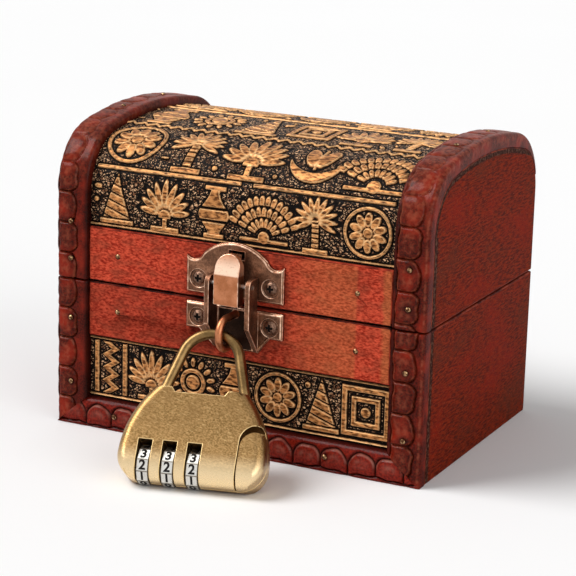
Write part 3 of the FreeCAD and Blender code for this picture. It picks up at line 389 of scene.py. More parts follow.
def rounded(across, width, near=EDGE_ROUND, far=EDGE_ROUND):
    """How far a moulding's face falls back at its near and its far edge, as quarter rounds."""
    first, last = np.clip(near - across, 0, near), np.clip(far - width + across, 0, far)
    return near - np.sqrt(near**2 - first**2) + far - np.sqrt(far**2 - last**2)


def across_face(width, count):
    """Places across a moulding's face, closer together on its two rounds."""
    even = np.linspace(0, math.pi, count)
    return width * (0.5 - 0.5 * (0.35 * np.cos(even) + 0.65 * (1 - 2 * even / math.pi)))


def slab(name, face, back, looks, behind=None):
    """The mesh of a closed piece: a grid of face points, rows up and columns to the right, and its flat back.

    back holds the back's left and right point of each row; sides, ends and back are filled in between them.
    looks are values on the face for the material, and behind those of the back's left and right edge."""
    rows, columns = face.shape[:2]
    number = np.arange(rows * columns).reshape(rows, columns)
    low, high = number[:-1], number[1:]
    quads = np.stack([low[:, :-1], low[:, 1:], high[:, 1:], high[:, :-1]], -1).reshape(-1, 4)
    left = rows * columns + 2 * np.arange(rows)
    right = left + 1
    sides = [
        np.stack([number[:-1, 0], number[1:, 0], left[1:], left[:-1]], -1),
        np.stack([number[:-1, -1], right[:-1], right[1:], number[1:, -1]], -1),
        np.stack([left[:-1], left[1:], right[1:], right[:-1]], -1),
    ]
    ends = [[left[0], right[0], *number[0, ::-1]], [*number[-1], right[-1], left[-1]]]
    faces = np.concatenate([quads, *sides]).tolist() + [[int(point) for point in end] for end in ends]
    mesh = bpy.data.meshes.new(name)
    mesh.from_pydata(np.concatenate([face.reshape(-1, 3), back.reshape(-1, 3)]).tolist(), [], faces)
    mesh.shade_smooth()
    mesh.set_sharp_from_angle(angle=CREASE)
    for label, values in looks.items():
        edges = np.tile((behind or {}).get(label, (0, 0)), rows)
        column = np.concatenate([values.ravel(), edges]).astype(np.float32)
        mesh.attributes.new(label, "FLOAT", "POINT").data.foreach_set("value", column)
    return mesh


def wear_and_shading_of(inside, dents, hidden, lit_edge):
    """The carving's two masks for its lacquer, from the distances to its rims and to a hidden and a lit edge.

    It is worn pale on the lips inside the rims, and painted pale as highlight on top of the pillows and along
    the lit edge. Dirt and painted shade lie in the grooves, round the nails and along the hidden edge."""
    # Pale lips are worn lacquer; the pillows' top highlights and the edge line are painted highlight.
    lips, top_highlights = 0.7 * bell(inside, 0.00035, 0.00025), 0.34 * bell(inside, 0.0023, 0.0008)
    edge = 0.5 * bell(lit_edge, 0.0006, 0.0003)
    grooves, corner = 0.6 * bell(inside, -0.00015, 0.00042), 0.85 * bell(hidden, 0, 0.0009)
    # Darkening in the grooves, along the hidden corner and in the nail dents is dirt together with painted shade.
    dirt = np.maximum(np.maximum(grooves, corner), 0.9 * dents)
    return {"paled": np.maximum(np.maximum(lips, top_highlights), edge) * (1 - dents), "grime_and_shade": dirt}


@finished(VARNISH)
def lacquered_trim(place):
    """Red-brown lacquer, redder where thin: worn pale lips, painted highlights, and dirt with painted shade in
    grooves.
    """
    paled, grime_and_shade = place.carried("paled"), place.carried("grime_and_shade")
    grain = place.noise(0.0005, 5)
    clouds = place.noise(0.006, 4).above(0.42, 0.72)
    patches = place.noise(0.0013, 4).above(0.38, 0.66)
    dark = grain.above(0.3, 0.7).between((48, 10, 4), (98, 24, 10))
    red = (clouds * 0.75).between(dark, (148, 35, 16))
    pale = (paled * (0.15 + patches * 0.85) + patches * clouds * 0.12).between(red, (160, 82, 58))
    colour = grime_and_shade.between(pale, (20, 6, 4))
    return colour, 0.34 + grain * 0.16 + grime_and_shade * 0.3, (grain + patches * 0.6).bump(0.00004)


PILLOW_PLACES = {"left": (0.0008, 0.0054, 0.03282, 0.0069), "right": (0.0014, 0.0060, 0.03593, 0.0015)}
BASE_NAILS = (0.01224, 0.03019)
LID_NAILS = (0.00559, 0.01575)
# How much painted shade darkens each trim's left and right back edge.
SHADED_SIDES = {"left": (0.1, 1.0), "right": (1.0, 0.1)}
CARVING_FADES = 0.024
PLAINEST = 0.65
DEEPEST = 0.85
BASE_ROWS, BASE_COLUMNS = 300, 64
LID_ROWS, LID_COLUMNS = (180, 190, 310, 90), 60


def carving(side, along, across, width, ridge, nails):
    """One trim's carving along its run: how far it lies under the face, and its lacquer's masks."""
    flat, reach = PILLOW_PLACES[side][:2]
    inside = pillows(along - ridge, across + uneven(along), PILLOW_PITCH, flat, reach, PILLOW_CORNER)
    dents = nailed(along, across, [(nail, width / 2) for nail in nails])
    edges = (width - across, across) if side == "left" else (across, width - across)
    return carved(inside, dents), wear_and_shading_of(inside, dents, *edges)


def flat_back(face, y):
    """The back of a slab: the left and right points of each row of its face, moved to y."""
    back = face[:, [0, -1]].copy()
    back[..., 1] = y
    return back


def fit_trim(half, side, face, back, wear_and_shading):
    """Fits a trim on the base or the lid, with painted shade along the side that is hidden."""
    name = f"{half}_{side}_moulding"
    mesh = slab(name, face, back, wear_and_shading, {"grime_and_shade": SHADED_SIDES[side]})
    fit(name, mesh, [lacquered_trim], f"{half}_{side}_trim")


foot_low, foot_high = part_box("base_bottom_trim")
for side, (_, _, ridge, _) in PILLOW_PLACES.items():
    low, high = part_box(f"base_{side}_trim")
    width = high.x - low.x
    across = across_face(width, BASE_COLUMNS)
    mitre = foot_high.z * (across if side == "left" else width - across) / width
    z = mitre + (high.z - mitre) * np.linspace(0, 1, BASE_ROWS)[:, None]
    depth, wear_and_shading = carving(side, z, across, width, ridge, BASE_NAILS)
    fall = rounded(across, width) + depth + rounded(high.z - z, FAR_OFF, END_ROUND)
    face = np.stack([np.broadcast_to(low.x + across, z.shape), low.y + fall, z], -1)
    fit_trim("base", side, face, flat_back(face, high.y), wear_and_shading)

CORNER_RADIUS = 0.018
CROWN_RADIUS = 0.120
TRIM_THICKNESS = 0.004
TRIM_TAIL = 0.006
arch_low, arch_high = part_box("lid_left_trim")
half_depth = -arch_low.y


def arch(inset, foot, counts, tail=None):
    """The barrel lid's section that far inside its outline, as (y, z) points and outward normals.

    Straight up the front, round the front corner, over the crown, round the back corner and, unless a tail
    that high over the corner's centre ends it, straight down to the back foot. The back keeps its place, so
    what is inset thins out there."""
    corner, crown = CORNER_RADIUS - inset, CROWN_RADIUS - inset
    reach = crown - corner
    crown_z = arch_high.z - CROWN_RADIUS
    front_y, back_y = CORNER_RADIUS - half_depth, half_depth - corner
    front_z, back_z = (crown_z + math.sqrt(reach**2 - y**2) for y in (front_y, back_y))
    front_turn, back_turn = math.atan2(front_z - crown_z, front_y), math.atan2(back_z - crown_z, back_y)
    last = 0.0 if tail is None else math.asin(tail / CORNER_RADIUS)
    rises = np.linspace(0, 1, counts[0], endpoint=False)
    points = [np.stack([np.full(counts[0], front_y - corner), foot + (front_z - foot) * rises], -1)]
    normals = [np.tile([-1.0, 0.0], (counts[0], 1))]
    arcs = (
        (front_y, front_z, corner, math.pi, front_turn),
        (0.0, crown_z, crown, front_turn, back_turn),
        (back_y, back_z, corner, back_turn, last),
    )
    for count, (y, z, radius, start, end) in zip(counts[1:], arcs):
        turn = np.linspace(start, end, count, endpoint=(tail is not None and end == last))
        ray = np.stack([np.cos(turn), np.sin(turn)], -1)
        points.append(np.array([y, z]) + radius * ray)
        normals.append(ray)
    if tail is None:
        falls = np.linspace(0, 1, counts[4])
        points.append(np.stack([np.full(counts[4], half_depth), back_z + (foot - back_z) * falls], -1))
        normals.append(np.tile([1.0, 0.0], (counts[4], 1)))
    return np.concatenate(points), np.concatenate(normals)


def run(points):
    """How far along a line of points each one lies."""
    return np.concatenate([[0], np.cumsum(np.linalg.norm(np.diff(points, axis=0), axis=1))])


def over_arch(x, section):
    """The points of a sheet bent over the arch: each row's (y, z) points, set out along x."""
    return np.concatenate([np.broadcast_to(x[:, None], (*section.shape[:2], 1)), section], -1)


def lining(inner, low, high):
    """The back of a sheet bent over the arch: the inner line at its left and at its right edge."""
    return over_arch(np.array([low.x, high.x]), np.repeat(inner[:, None], 2, 1))


for side, (_, _, _, ridge) in PILLOW_PLACES.items():
    low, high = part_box(f"lid_{side}_trim")
    width = high.x - low.x
    across = across_face(width, LID_COLUMNS)
    outer, inner = (arch(inset, low.z, LID_ROWS, TRIM_TAIL)[0] for inset in (0.0, TRIM_THICKNESS))
    thick = np.linalg.norm(inner - outer, axis=1)[:, None]
    along = run(outer)[:, None]
    depth, wear_and_shading = carving(side, along, across, width, ridge, LID_NAILS)
    plain = np.clip((along - CARVING_FADES) / CARVING_FADES, 0, PLAINEST)
    fall = rounded(across, width) + depth * (1 - plain) + rounded(along, FAR_OFF, END_ROUND)
    fall = np.minimum(fall, DEEPEST * thick)
    into = (inner - outer) / np.maximum(thick, 1e-9)
    section = outer[:, None] + into[:, None] * fall[..., None]
    # On the crown, where the carving fades, the lacquer is painted pale as a highlight, and the dark in its
    # grooves fades too.
    wear_and_shading = {"paled": wear_and_shading["paled"] * (1 - plain) + 0.6 * plain, "grime_and_shade": wear_and_shading["grime_and_shade"] * (1 - plain)}
    fit_trim("lid", side, over_arch(low.x + across, section), lining(inner, low, high), wear_and_shading)


# Foot moulding: one carved length along the foot of the front, mitred to the uprights and glued on.
# Its pillows stand upright, straight at the floor and round at the top, under a plain band that slopes back.
DOME_PITCH = 0.00785
DOME_REACH = 0.0055
DOME_CORNER = 0.0036
DOME_RIDGE = 0.0260
DOME_FOOT = 0.0012
FOOT_ROUND = 0.0027
FOOT_NAILS = (-0.03552, -0.00444, 0.02753)
DOME_GROOVE = 0.00024
BAND_FADES = 0.0022
FOOT_ROWS, FOOT_COLUMNS = 56, 860


@finished(VARNISH)
def foot_lacquer(place):
    """The trims' lacquer, redder: a bright band over darker pillows whose lips are worn to a greyish pink, with
    painted highlights on them and painted shade in their grooves.
    """
    paled, grime_and_shade = place.carried("paled"), place.carried("grime_and_shade")
    grain = place.noise(0.0006, 5)
    patches = place.noise(0.0022, 5).above(0.4, 0.62)
    red = grain.above(0.3, 0.7).between((90, 17, 9), (138, 36, 22))
    pale = (paled * (0.35 + patches * 0.65)).between(red, (156, 94, 80))
    colour = grime_and_shade.between(pale, (20, 6, 5))
    return colour, 0.34 + grain * 0.14 + grime_and_shade * 0.3, grain.bump(0.00004)


height = foot_high.z - foot_low.z
across = across_face(height, FOOT_ROWS)[:, None]
half_width = foot_high.x
mitre = (half_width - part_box("base_embossed_strip")[1].x) * across / height
x = np.linspace(-1, 1, FOOT_COLUMNS) * (half_width - mitre)
inside = pillows(x - DOME_RIDGE, across + uneven(x), DOME_PITCH, DOME_FOOT, DOME_REACH, DOME_CORNER)
dents = nailed(x, across, [(nail, height / 2) for nail in FOOT_NAILS])
fall = rounded(across, height, END_ROUND, FOOT_ROUND) + carved(inside, dents)
wear_and_shading = wear_and_shading_of(inside, dents, height - across, FAR_OFF)
# Painted shade, with dirt, in the grooves round the domes.
wear_and_shading["grime_and_shade"] = np.maximum(wear_and_shading["grime_and_shade"], 0.95 * bell(inside, 0, DOME_GROOVE))
# The pale mask, worn lips and painted highlight, fades out towards the floor.
wear_and_shading["paled"] = 1.7 * wear_and_shading["paled"] * np.clip(across / BAND_FADES - 1, 0, 1)
face = np.stack([x, foot_low.y + fall, np.broadcast_to(foot_low.z + across, x.shape)], -1)
mesh = slab("foot_moulding", face, flat_back(face, foot_high.y), wear_and_shading)
fit("foot_moulding", mesh, [foot_lacquer], "base_bottom_trim")


# Embossed coverings: sheets of pressed leather-cloth glued over the lid's shell and across the base's front.
# Lotus fans, rosettes, suns, palms and jars are rubbed with gold on a black ground of pale, worm-like grain.
def spot(p, q, size):
    """A disc: its radius less the distance from its middle."""
    return size / 2 - np.hypot(p, q)


def bar(p, q, length, width):
    """A straight bar: the lesser of the distances to its ends and to its sides."""
    return np.minimum(length / 2 - np.abs(p), width / 2 - np.abs(q))


def leaf(p, q, turn, start, length, width):
    """A leaf that points away from the origin: an ellipse between start and start + length along turn."""
    along = p * math.sin(turn) + q * math.cos(turn) - start - length / 2
    aside = p * math.cos(turn) - q * math.sin(turn)
    return (1 - np.hypot(along / (length / 2), aside / (width / 2))) * width / 2


def together(*shapes):
    """Several shapes as one: the most inside of them."""
    return np.maximum.reduce(shapes)


def rosette(p, q):
    """Ten broad leaves round a boss, inside a ring. This and the next motifs are all one unit in size."""
    leaves = [leaf(p, q, k * math.pi / 5, 0.11, 0.29, 0.16) for k in range(10)]
    return together(*leaves, spot(p, q, 0.2), 0.035 - np.abs(np.hypot(p, q) - 0.47))


def lotus(p, q):
    """A fan of nine petals, the middle ones longest, over a cup on a stem with a foot bar."""
    up = q + 0.2
    turns = np.radians(np.arange(-80, 81, 20))
    petals = [leaf(p, up, turn, 0.12, 0.58 - 0.12 * abs(turn), 0.13) for turn in turns]
    cup = np.minimum(spot(p, up + 0.02, 0.26), up + 0.06)
    return together(*petals, cup, bar(p, q + 0.36, 0.1, 0.2), bar(p, q + 0.47, 0.6, 0.09))


def sun(p, q):
    """A disc with a ring cut in it and short rays all round."""
    far = np.hypot(p, q)
    rays = [leaf(p, q, k * math.pi / 7, 0.31, 0.19, 0.1) for k in range(14)]
    return together(*rays, np.minimum(0.28 - far, np.abs(far - 0.17) - 0.02))


def palm(p, q):
    """A palm: a ringed trunk on a foot bar, with fronds that arch out of its top."""
    rings = np.abs((q * 11) % 1 - 0.5) / 11 - 0.01
    trunk = np.minimum(bar(p, q + 0.18, 0.14, 0.56), rings)
    turns = np.radians(np.arange(-115, 116, 23))
    fronds = [leaf(p, q - 0.1, turn, 0.04, 0.4, 0.1) for turn in turns]
    return together(trunk, *fronds, bar(p, q + 0.47, 0.5, 0.09))


def fan(p, q):
    """An open fan of three rows of feathers about a boss, each row a ring of round-ended cells."""
    up = q + 0.4
    far, turn = np.hypot(p, up), np.arctan2(p, up)
    ring = (far - 0.2) / 0.23
    row = np.clip(np.floor(ring), 0, 2)
    cells = 8 + 3 * row
    aside = (turn / 2.5 * cells + 0.5 * (row % 2)) % 1 - 0.5
    vane = (0.43 - np.hypot(aside, np.clip(ring - row - 0.5, 0, None))) * far * 2.5 / cells
    vane = np.minimum(vane, (ring - row - 0.04) * 0.23)
    edge = np.minimum((1.25 - np.abs(turn)) * far, np.minimum(far - 0.2, 0.89 - far))
    return together(np.minimum(vane, edge), spot(p, up, 0.26), bar(p, q + 0.47, 1.1, 0.08))


def urn(p, q):
    """A tall jar: a swelling body, a neck, a lip and a foot, cut by two bands."""
    girth = 0.24 * bell(q, -0.06, 0.26) + 0.08
    body = np.minimum(girth - np.abs(p), 0.42 - np.abs(q))
    body = np.minimum(body, np.abs(np.abs(q + 0.06) - 0.12) - 0.02)
    return together(body, bar(p, q - 0.44, 0.44, 0.09), bar(p, q + 0.46, 0.42, 0.09))


def boat(p, q):
    """A crescent hull, a mast and two swelling sails."""
    hull = np.minimum(spot(p, q - 0.02, 0.98), np.hypot(p, q - 0.3) - 0.56)
    sails = [leaf(p - side * 0.05, q + 0.14, side * 0.3, 0.0, 0.6, 0.26) for side in (-1, 1)]
    return together(hull, *sails, bar(p, q - 0.12, 0.05, 0.66))


def nest(p, q):
    """Squares inside one another, with a stud in the middle."""
    far = np.maximum(np.abs(p), np.abs(q))
    return together(0.055 - np.abs(far - 0.43), 0.05 - np.abs(far - 0.24), spot(p, q, 0.2))


def pennant(p, q):
    """A tall triangle that stands on a bar, cut across by slanting lines."""
    level = q + 0.5
    body = np.minimum((0.33 * (1 - level) - np.abs(p)) * 0.94, level - 0.12)
    body = np.minimum(body, np.abs(((q + 0.35 * p) * 6) % 1 - 0.5) / 6 - 0.012)
    return together(body, bar(p, q + 0.45, 0.72, 0.09))


def plaits(p, q):
    """An upright zigzag between two posts: a band round a triangle wave."""
    wave = (np.abs((q * 4) % 1 - 0.5) - 0.25) * 0.5
    band = 0.07 - np.abs(p + wave * 0.8) * 0.8
    posts = 0.05 - np.abs(np.abs(p) - 0.3)
    return np.minimum(together(band, posts), 0.5 - np.abs(q))


def chevrons(p, q, pitch, width):
    """A zigzag line: a band of that width round a triangle wave."""
    wave = (np.abs((p / pitch) % 1 - 0.5) * 2 - 0.5) * pitch * 0.5
    return width / 2 - np.abs(q - wave) * 0.75


def steps(p, q, pitch):
    """A running key: square hooks that follow one another between two lines."""
    turn = (p / pitch) % 1
    middle = (q > pitch * 0.26) | ((turn > 0.45) & (q < 0))
    hook = np.where(turn < 0.2, 1, np.where(turn < 0.8, middle, q < -pitch * 0.26))
    return np.where(hook > 0, 0.3, -0.6) + np.minimum(0, pitch * 0.42 - np.abs(q)) * 2


MILLIMETRE = 0.001
RELIEF = 0.00038
SUNK = 0.3
PEBBLE = 0.00003
SLOPE = 0.32
FURROW = 0.22
MARK_CLEAR = 0.9
MARK_ROOM = 1.6
chance = np.random.default_rng(7)


def pressed(x, s, rows, lines, marks):
    """The pressed pattern at (x, s) in millimetres: how far each point lies inside the gold, in millimetres.

    rows place motifs in turn along a line of the sheet, lines are drawn right across it, and a scatter of
    small marks fills the bare ground between."""
    inside = np.full(x.shape, -9.0)
    for level, start, pitch, motifs in rows:
        for turn, (motif, size) in enumerate(motifs):
            p, q = x - start - pitch * turn, s - level
            near = (np.abs(p) < size) & (np.abs(q) < size)
            inside[near] = np.maximum(inside[near], motif(p[near] / size, q[near] / size) * size)
    for shape in lines:
        inside = np.maximum(inside, shape)
    free = inside < -MARK_CLEAR
    for _ in range(marks):
        p, q = x - chance.uniform(x.min(), x.max()), s - chance.uniform(s.min(), s.max())
        size, turn, kind = chance.uniform(1.2, 2.4), chance.uniform(0, math.pi), chance.integers(3)
        near = (np.abs(p) < MARK_ROOM) & (np.abs(q) < MARK_ROOM)
        if not free[near].all():
            continue
        p, q = p[near], q[near]
        petal = leaf(p, q, turn, -size / 2, size * 1.4, size * 0.6)
        mark = (spot(p, q, size * 0.7), petal, bar(p, q, size, 0.6))[kind]
        inside[near] = np.maximum(inside[near], mark)
        free[near] = False
    return inside


def relief(inside):
    """Height of the pressed sheet in metres: a flat-topped rise in the gold, a furrow round it, grain outside.

    The sheet's middle height is sunk a little, so that the rise stays close to its solid's face."""
    rise = np.clip(inside / SLOPE, 0, 1)
    furrow = bell(inside, -FURROW, FURROW)
    grain = chance.standard_normal(inside.shape)
    grain = grain + np.roll(grain, 1, 0) + np.roll(grain, 1, 1) + np.roll(grain, (1, 1), (0, 1))
    outside = np.clip(-inside / 0.5, 0, 1)
    return RELIEF * (rise * (2 - rise) - 0.6 * furrow - SUNK) + PEBBLE * grain / 2 * outside


@finished({GLOSS: 0.07})
def embossed_covering(place):
    """Gold rubbed on the raised places, black in the furrows round them, and pale grain on the ground between.

    The mesh carries how far each place lies inside the gold, in millimetres, so the outlines stay crisp."""
    inside = place.carried("inside")
    gold = inside.above(-0.05, 0.09)
    furrow = inside.above(-0.60, -0.36) * (1 - gold)
    sway = place.add("TexNoise", None, {"Vector": place, "Scale": 700.0, "Detail": 1.0}, "Color")
    bent = place.add("VectorMath", {"operation": "MULTIPLY_ADD"}, {0: sway, 1: (0.0018,) * 3, 2: place})
    drawn = place.add("Mapping", None, {"Vector": bent, "Scale": (880.0, 1640.0, 1640.0)})
    cells = place.add("TexVoronoi", {"feature": "DISTANCE_TO_EDGE"}, {"Vector": drawn, "Scale": 1.0})
    grain = cells.above(0.14, 0.22)
    rub = place.noise(0.0007, 5, (2.4, 1, 1))
    wear_and_shading = place.noise(0.007, 3).above(0.35, 0.7)
    pale = rub.above(0.4, 0.6).between((124, 82, 56), (238, 190, 146))
    ground = (grain * (0.8 + wear_and_shading * 0.2) * (1 - furrow)).between((10, 5, 3), pale)
    foil = rub.above(0.36, 0.64).between((94, 54, 26), (224, 155, 94))
    lit = inside.above(0.02, 0.16) * (1 - inside.above(0.22, 0.4))
    rimmed = (lit * 0.6).between(foil, (252, 204, 146))
    shaded = (inside.above(0.3, 0.9) * wear_and_shading * 0.4).between(rimmed, (120, 74, 40))
    leafed = gold * (0.72 + rub.above(0.34, 0.46) * 0.28)
    return (
        leafed.between(ground, shaded),
        0.48 - leafed * 0.08 + rub * 0.1,
        (grain * (1 - gold) * 0.5 + inside.above(-0.2, 0.25) + rub * 0.3).bump(0.00028),
        leafed * 0.35,
    )


COVER_THICKNESS = 0.0014
RIGHT_ACROSS = 200
COVER_ROWS, COVER_COLUMNS = (36, 62, 118, 48, 44), 300
STRIP_ROWS, STRIP_COLUMNS = 104, 500
low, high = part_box("lid_leather")
outer, outward = arch(TRIM_THICKNESS - COVER_THICKNESS, low.z, COVER_ROWS)
inner, _ = arch(TRIM_THICKNESS, low.z, COVER_ROWS)
x = np.linspace(low.x, high.x, COVER_COLUMNS)
s = run(outer)[:, None]
across, along = np.broadcast_arrays(x[None] / MILLIMETRE, s / MILLIMETRE)
lid_rows = (
    (8.3, -36.6, 14.6, ((pennant, 14.0), (lotus, 14.0), (urn, 14.0), (fan, 12.6), (palm, 14.2), (rosette, 13.4))),
    (26.4, -35.5, 17.8, ((rosette, 16.5), (palm, 17.5), (lotus, 17.5), (boat, 15.5), (fan, 15.0))),
    (47.6, -36.5, 14.6, ((urn, 17.0), (sun, 15.0), (pennant, 17.0), (nest, 13.0), (lotus, 15.5), (palm, 15.5))),
    (69.0, -35.5, 17.8, ((fan, 15.0), (rosette, 15.5), (boat, 15.5), (lotus, 16.5), (sun, 15.0))),
    (91.0, -36.5, 14.6, ((nest, 12.5), (lotus, 14.0), (rosette, 13.0), (urn, 14.0), (pennant, 14.0), (sun, 13.0))),
)
far = along.max()
rules = ((0.7, 0.6), (58.4, 1.0), (far - 9.2, 0.8), (far - 0.9, 0.6))
lid_lines = [
    *(bar(along - level, across, thick, RIGHT_ACROSS) for level, thick in rules),
    bar(along - 16.5, across + 22, 1.1, 43),
    bar(along - 16.5, across - 23, 1.1, 40),
    chevrons(across, along - 37.0, 3.6, 0.9),
    steps(across, along - 80.4, 4.0),
    chevrons(across, along - far + 5.0, 4.4, 1.1),
]
inside = pressed(across, along, lid_rows, lid_lines, 2500)
section = outer[:, None] + outward[:, None] * relief(inside)[..., None]
mesh = slab("lid_covering", over_arch(x, section), lining(inner, low, high), {"inside": inside})
fit("lid_covering", mesh, [embossed_covering], "lid_leather")

low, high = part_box("base_embossed_strip")
x = np.linspace(low.x, high.x, STRIP_COLUMNS)
z = np.linspace(low.z, high.z, STRIP_ROWS)
across, along = np.meshgrid(x / MILLIMETRE, (z - low.z) / MILLIMETRE)
far = along.max()
strip_motifs = (
    *((plaits, 14.5), (lotus, 14.0), (sun, 13.5), (urn, 14.5)),
    *((rosette, 13.5), (pennant, 14.5), (nest, 14.0)),
)
strip_lines = [bar(along - level, across, 0.6, RIGHT_ACROSS) for level in (0.7, far - 0.7)]
inside = pressed(across, along, ((far / 2, -38.0, 12.6, strip_motifs),), strip_lines, 1200)
face = np.stack(np.broadcast_arrays(x, low.y - relief(inside), z[:, None]), -1)
mesh = slab("base_covering", face, flat_back(face, high.y), {"inside": inside})
fit("base_covering", mesh, [embossed_covering], "base_embossed_strip")


# Brads: small domed brass nails, driven through the trims and the strips into the wood behind.
# They have gone dull brown, with bright metal only where hands have rubbed them.
def coat(material, *names):
    """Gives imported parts, whose shape is right as it is, a better finish."""
    for name in names:
        for place in nodes[name].material_slots:
            place.material = material


METAL = {"Metallic": 1.0}
tarnish = patchy((184, 148, 108), (78, 50, 32), (0.0007, 4), 0.26, 0.25, (0.32, 0.56), 0.00004)
coat(finish("brass_brads", tarnish, METAL), "base_brads", "lid_brads")


# Hinges: two small butt hinges on the back, rolled from bronzed sheet, each with its pin and four screws.
# They are let in behind the lid and the base, and their knuckles stand just clear of the back.
@finished(METAL)
def hinge_bronze(place):
    """Dark bronzed sheet, cloudy, with faint rolling lines along x."""
    clouds = place.noise(0.003, 4).above(0.35, 0.7)
    lines = place.noise(0.0003, 2, (20, 1, 1))
    colour = clouds.between((96, 70, 46), (146, 110, 72))
    return colour, 0.36 + lines * 0.2, lines.bump(0.00003)


bright_bronze = finish("bright_bronze", patchy((176, 138, 92), (206, 170, 122), (0.0012, 3), 0.3, 0.1), METAL)
for side in ("left", "right"):
    for leaf_name in ("base_leaf", "lid_leaf"):
        eased(f"{side}_hinge_{leaf_name}", [hinge_bronze, bright_bronze], 0.00012)
coat(hinge_bronze, "left_hinge_pin", "right_hinge_pin")


# Screws: cross-head wood screws of bronzed steel in the hinges and the hasp.
# Their crosses are painted black, for dirt and the shade in them, and their rims are bright.
rubbed_bronze = patchy((96, 70, 58), (146, 114, 94), (0.0005, 3), 0.32, 0.15, (0.4, 0.7), 0.00003)
dark_screws = finish("dark_screws", rubbed_bronze, METAL)
# Black for the crosses: dirt together with painted shade.
black_dirt_and_shade = patchy((8, 6, 5), (30, 22, 18), (0.0004, 3), 0.7, 0.2)
slot_grime_and_shade = finish("slot_grime_and_shade", black_dirt_and_shade, {GLOSS: 0.1})
HASP_HEAD = 0.0009
HINGE_HEAD = 0.0006
HEAD_SHARE = 0.97
SQUARE = 0.9995
UPRIGHT = 0.05


def slotted(node, way, head_height):
    """Packed screws that face that way along y, with dirt and painted shade in their crosses: the level and
    the upright faces that lie within the heads."""
    mesh = joined(node)
    low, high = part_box(node)
    middles, normals = np.empty((2, len(mesh.polygons), 3), np.float32)
    mesh.polygons.foreach_get("center", middles.ravel())
    mesh.polygons.foreach_get("normal", normals.ravel())
    within = way * middles[:, 1] > (high.y if way > 0 else -low.y) - HEAD_SHARE * head_height
    facing = np.abs(normals[:, 1])
    cross = within & ((facing > SQUARE) | (facing < UPRIGHT))
    mesh.polygons.foreach_set("material_index", cross.astype(np.int32))
    fit(node + "_slotted", mesh, [dark_screws, slot_grime_and_shade], node)


for screws in ("hasp_lid_screws", "hasp_base_screws"):
    slotted(screws, -1, HASP_HEAD)
for screws in ("hinge_base_screws", "hinge_lid_screws"):
    slotted(screws, 1, HINGE_HEAD)


# Hasp plates: pressed sheet, copper plated and darkened, then worn bright on every edge, which also carries a
# painted highlight. The keeper plate is screwed to the lid's strip and the plate with the cheeks to the base's.
@finished(METAL)
def aged_copper(place):
    """Brown-grey copper plating: fine speckle, soft blotches of barer metal, and faint polishing lines along x.

    Between the cheeks, under the lever, it is painted nearly black as shade."""
    blotch = place.noise(0.004, 5).above(0.38, 0.7)
    speckle = place.noise(0.0004, 4).above(0.4, 0.62)
    lines = place.noise(0.00022, 3, (18, 1, 1))
    x, z = place.axis("X"), place.axis("Z")
    # Painted shade between the cheeks, under the lever.
    channel_shade = x.band(-0.0042, -0.0036, 0.0052, 0.0058) * (1 - z.above(0.0405, 0.0412))
    metal = blotch.between((108, 74, 56), (156, 110, 84))
    spotted = (speckle * 0.45).between(metal, (58, 38, 29))
    colour = (channel_shade * 0.9).between(spotted, (28, 22, 20))
    return colour, 0.34 + lines * 0.2, (lines + speckle * 0.4).bump(0.00003)


lid_low, lid_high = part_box("hasp_lid_screws")
base_low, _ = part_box("hasp_base_screws")
SCREW_RING = 0.0024
screw_radius = (lid_high.z - lid_low.z) / 2
screws_apart = (lid_high.x - lid_low.x) / 2 - screw_radius, (lid_low.z - base_low.z) / 2
screws_middle = (lid_low.x + lid_high.x) / 2, (lid_low.z + base_low.z) / 2 + screw_radius


@finished(METAL)
def rubbed_and_highlit_copper(place):
    """A plate's edge, worn to pale pink metal that also serves as a painted highlight, but painted black round the
    screw heads, for dirt and the shade in the countersinks.

    The four screws stand at the corners of an oblong, so the distance to the nearest one comes from the distances
    to its middle, less half its sides."""
    rub = place.noise(0.0012, 4)
    aside, over = (
        abs(place.axis(axis) - middle) - apart
        for axis, middle, apart in zip("XZ", screws_middle, screws_apart)
    )
    # Painted dark round the screw heads: dirt and the shade in their countersinks.
    ring = 1 - (aside * aside + over * over).above((SCREW_RING - HAIR) ** 2, SCREW_RING**2)
    pale = rub.above(0.3, 0.7).between((168, 118, 92), (236, 196, 168))
    return (ring * 0.85).between(pale, (30, 22, 18)), 0.26 + rub * 0.12


for plate in ("hasp_lid_plate", "hasp_base_plate"):
    eased(plate, [aged_copper, rubbed_and_highlit_copper], 0.0002)


# Hasp lever and ring: a folded lever between the cheeks, pressed at its top to free the keeper, and the ring
# of copper wire that the padlock hangs from. The lever turns on a pin, against a small coil spring behind it.
LEVER_HEAD = 0.0054
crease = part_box("hasp_lever")[1].z - LEVER_HEAD


@finished(METAL)
def bright_copper(place):
    """Orange copper with dark spots and fine lines along x, and a painted highlight on the lever's head above its
    crease.
    """
    z = place.axis("Z")
    clouds = place.noise(0.003, 4)
    spots = place.noise(0.0005, 4).above(0.55, 0.7)
    lines = place.noise(0.0002, 2, (16, 1, 1))
    # A painted highlight on the head, above the crease.
    head_highlight = (z - crease).band(-0.0002, 0.0003, 0.0012, 0.0062)
    metal = clouds.above(0.3, 0.7).between((168, 104, 68), (204, 136, 98))
    paled = (head_highlight * 0.85).between(metal, (248, 216, 190))
    colour = (spots * 0.3).between(paled, (112, 66, 44))
    return colour, 0.28 + lines * 0.14, (lines + spots * 0.5).bump(0.00002)


eased("hasp_lever", [bright_copper, rubbed_and_highlit_copper], 0.00022)
eased("hasp_ring", [bright_copper, bright_copper], 0.0001)
bare_steel = patchy((140, 138, 134), (196, 194, 190), (0.0002, 2), 0.28, 0.15)
coat(finish("spring_steel", bare_steel, METAL), "hasp_lever_pin", "hasp_lever_spring")


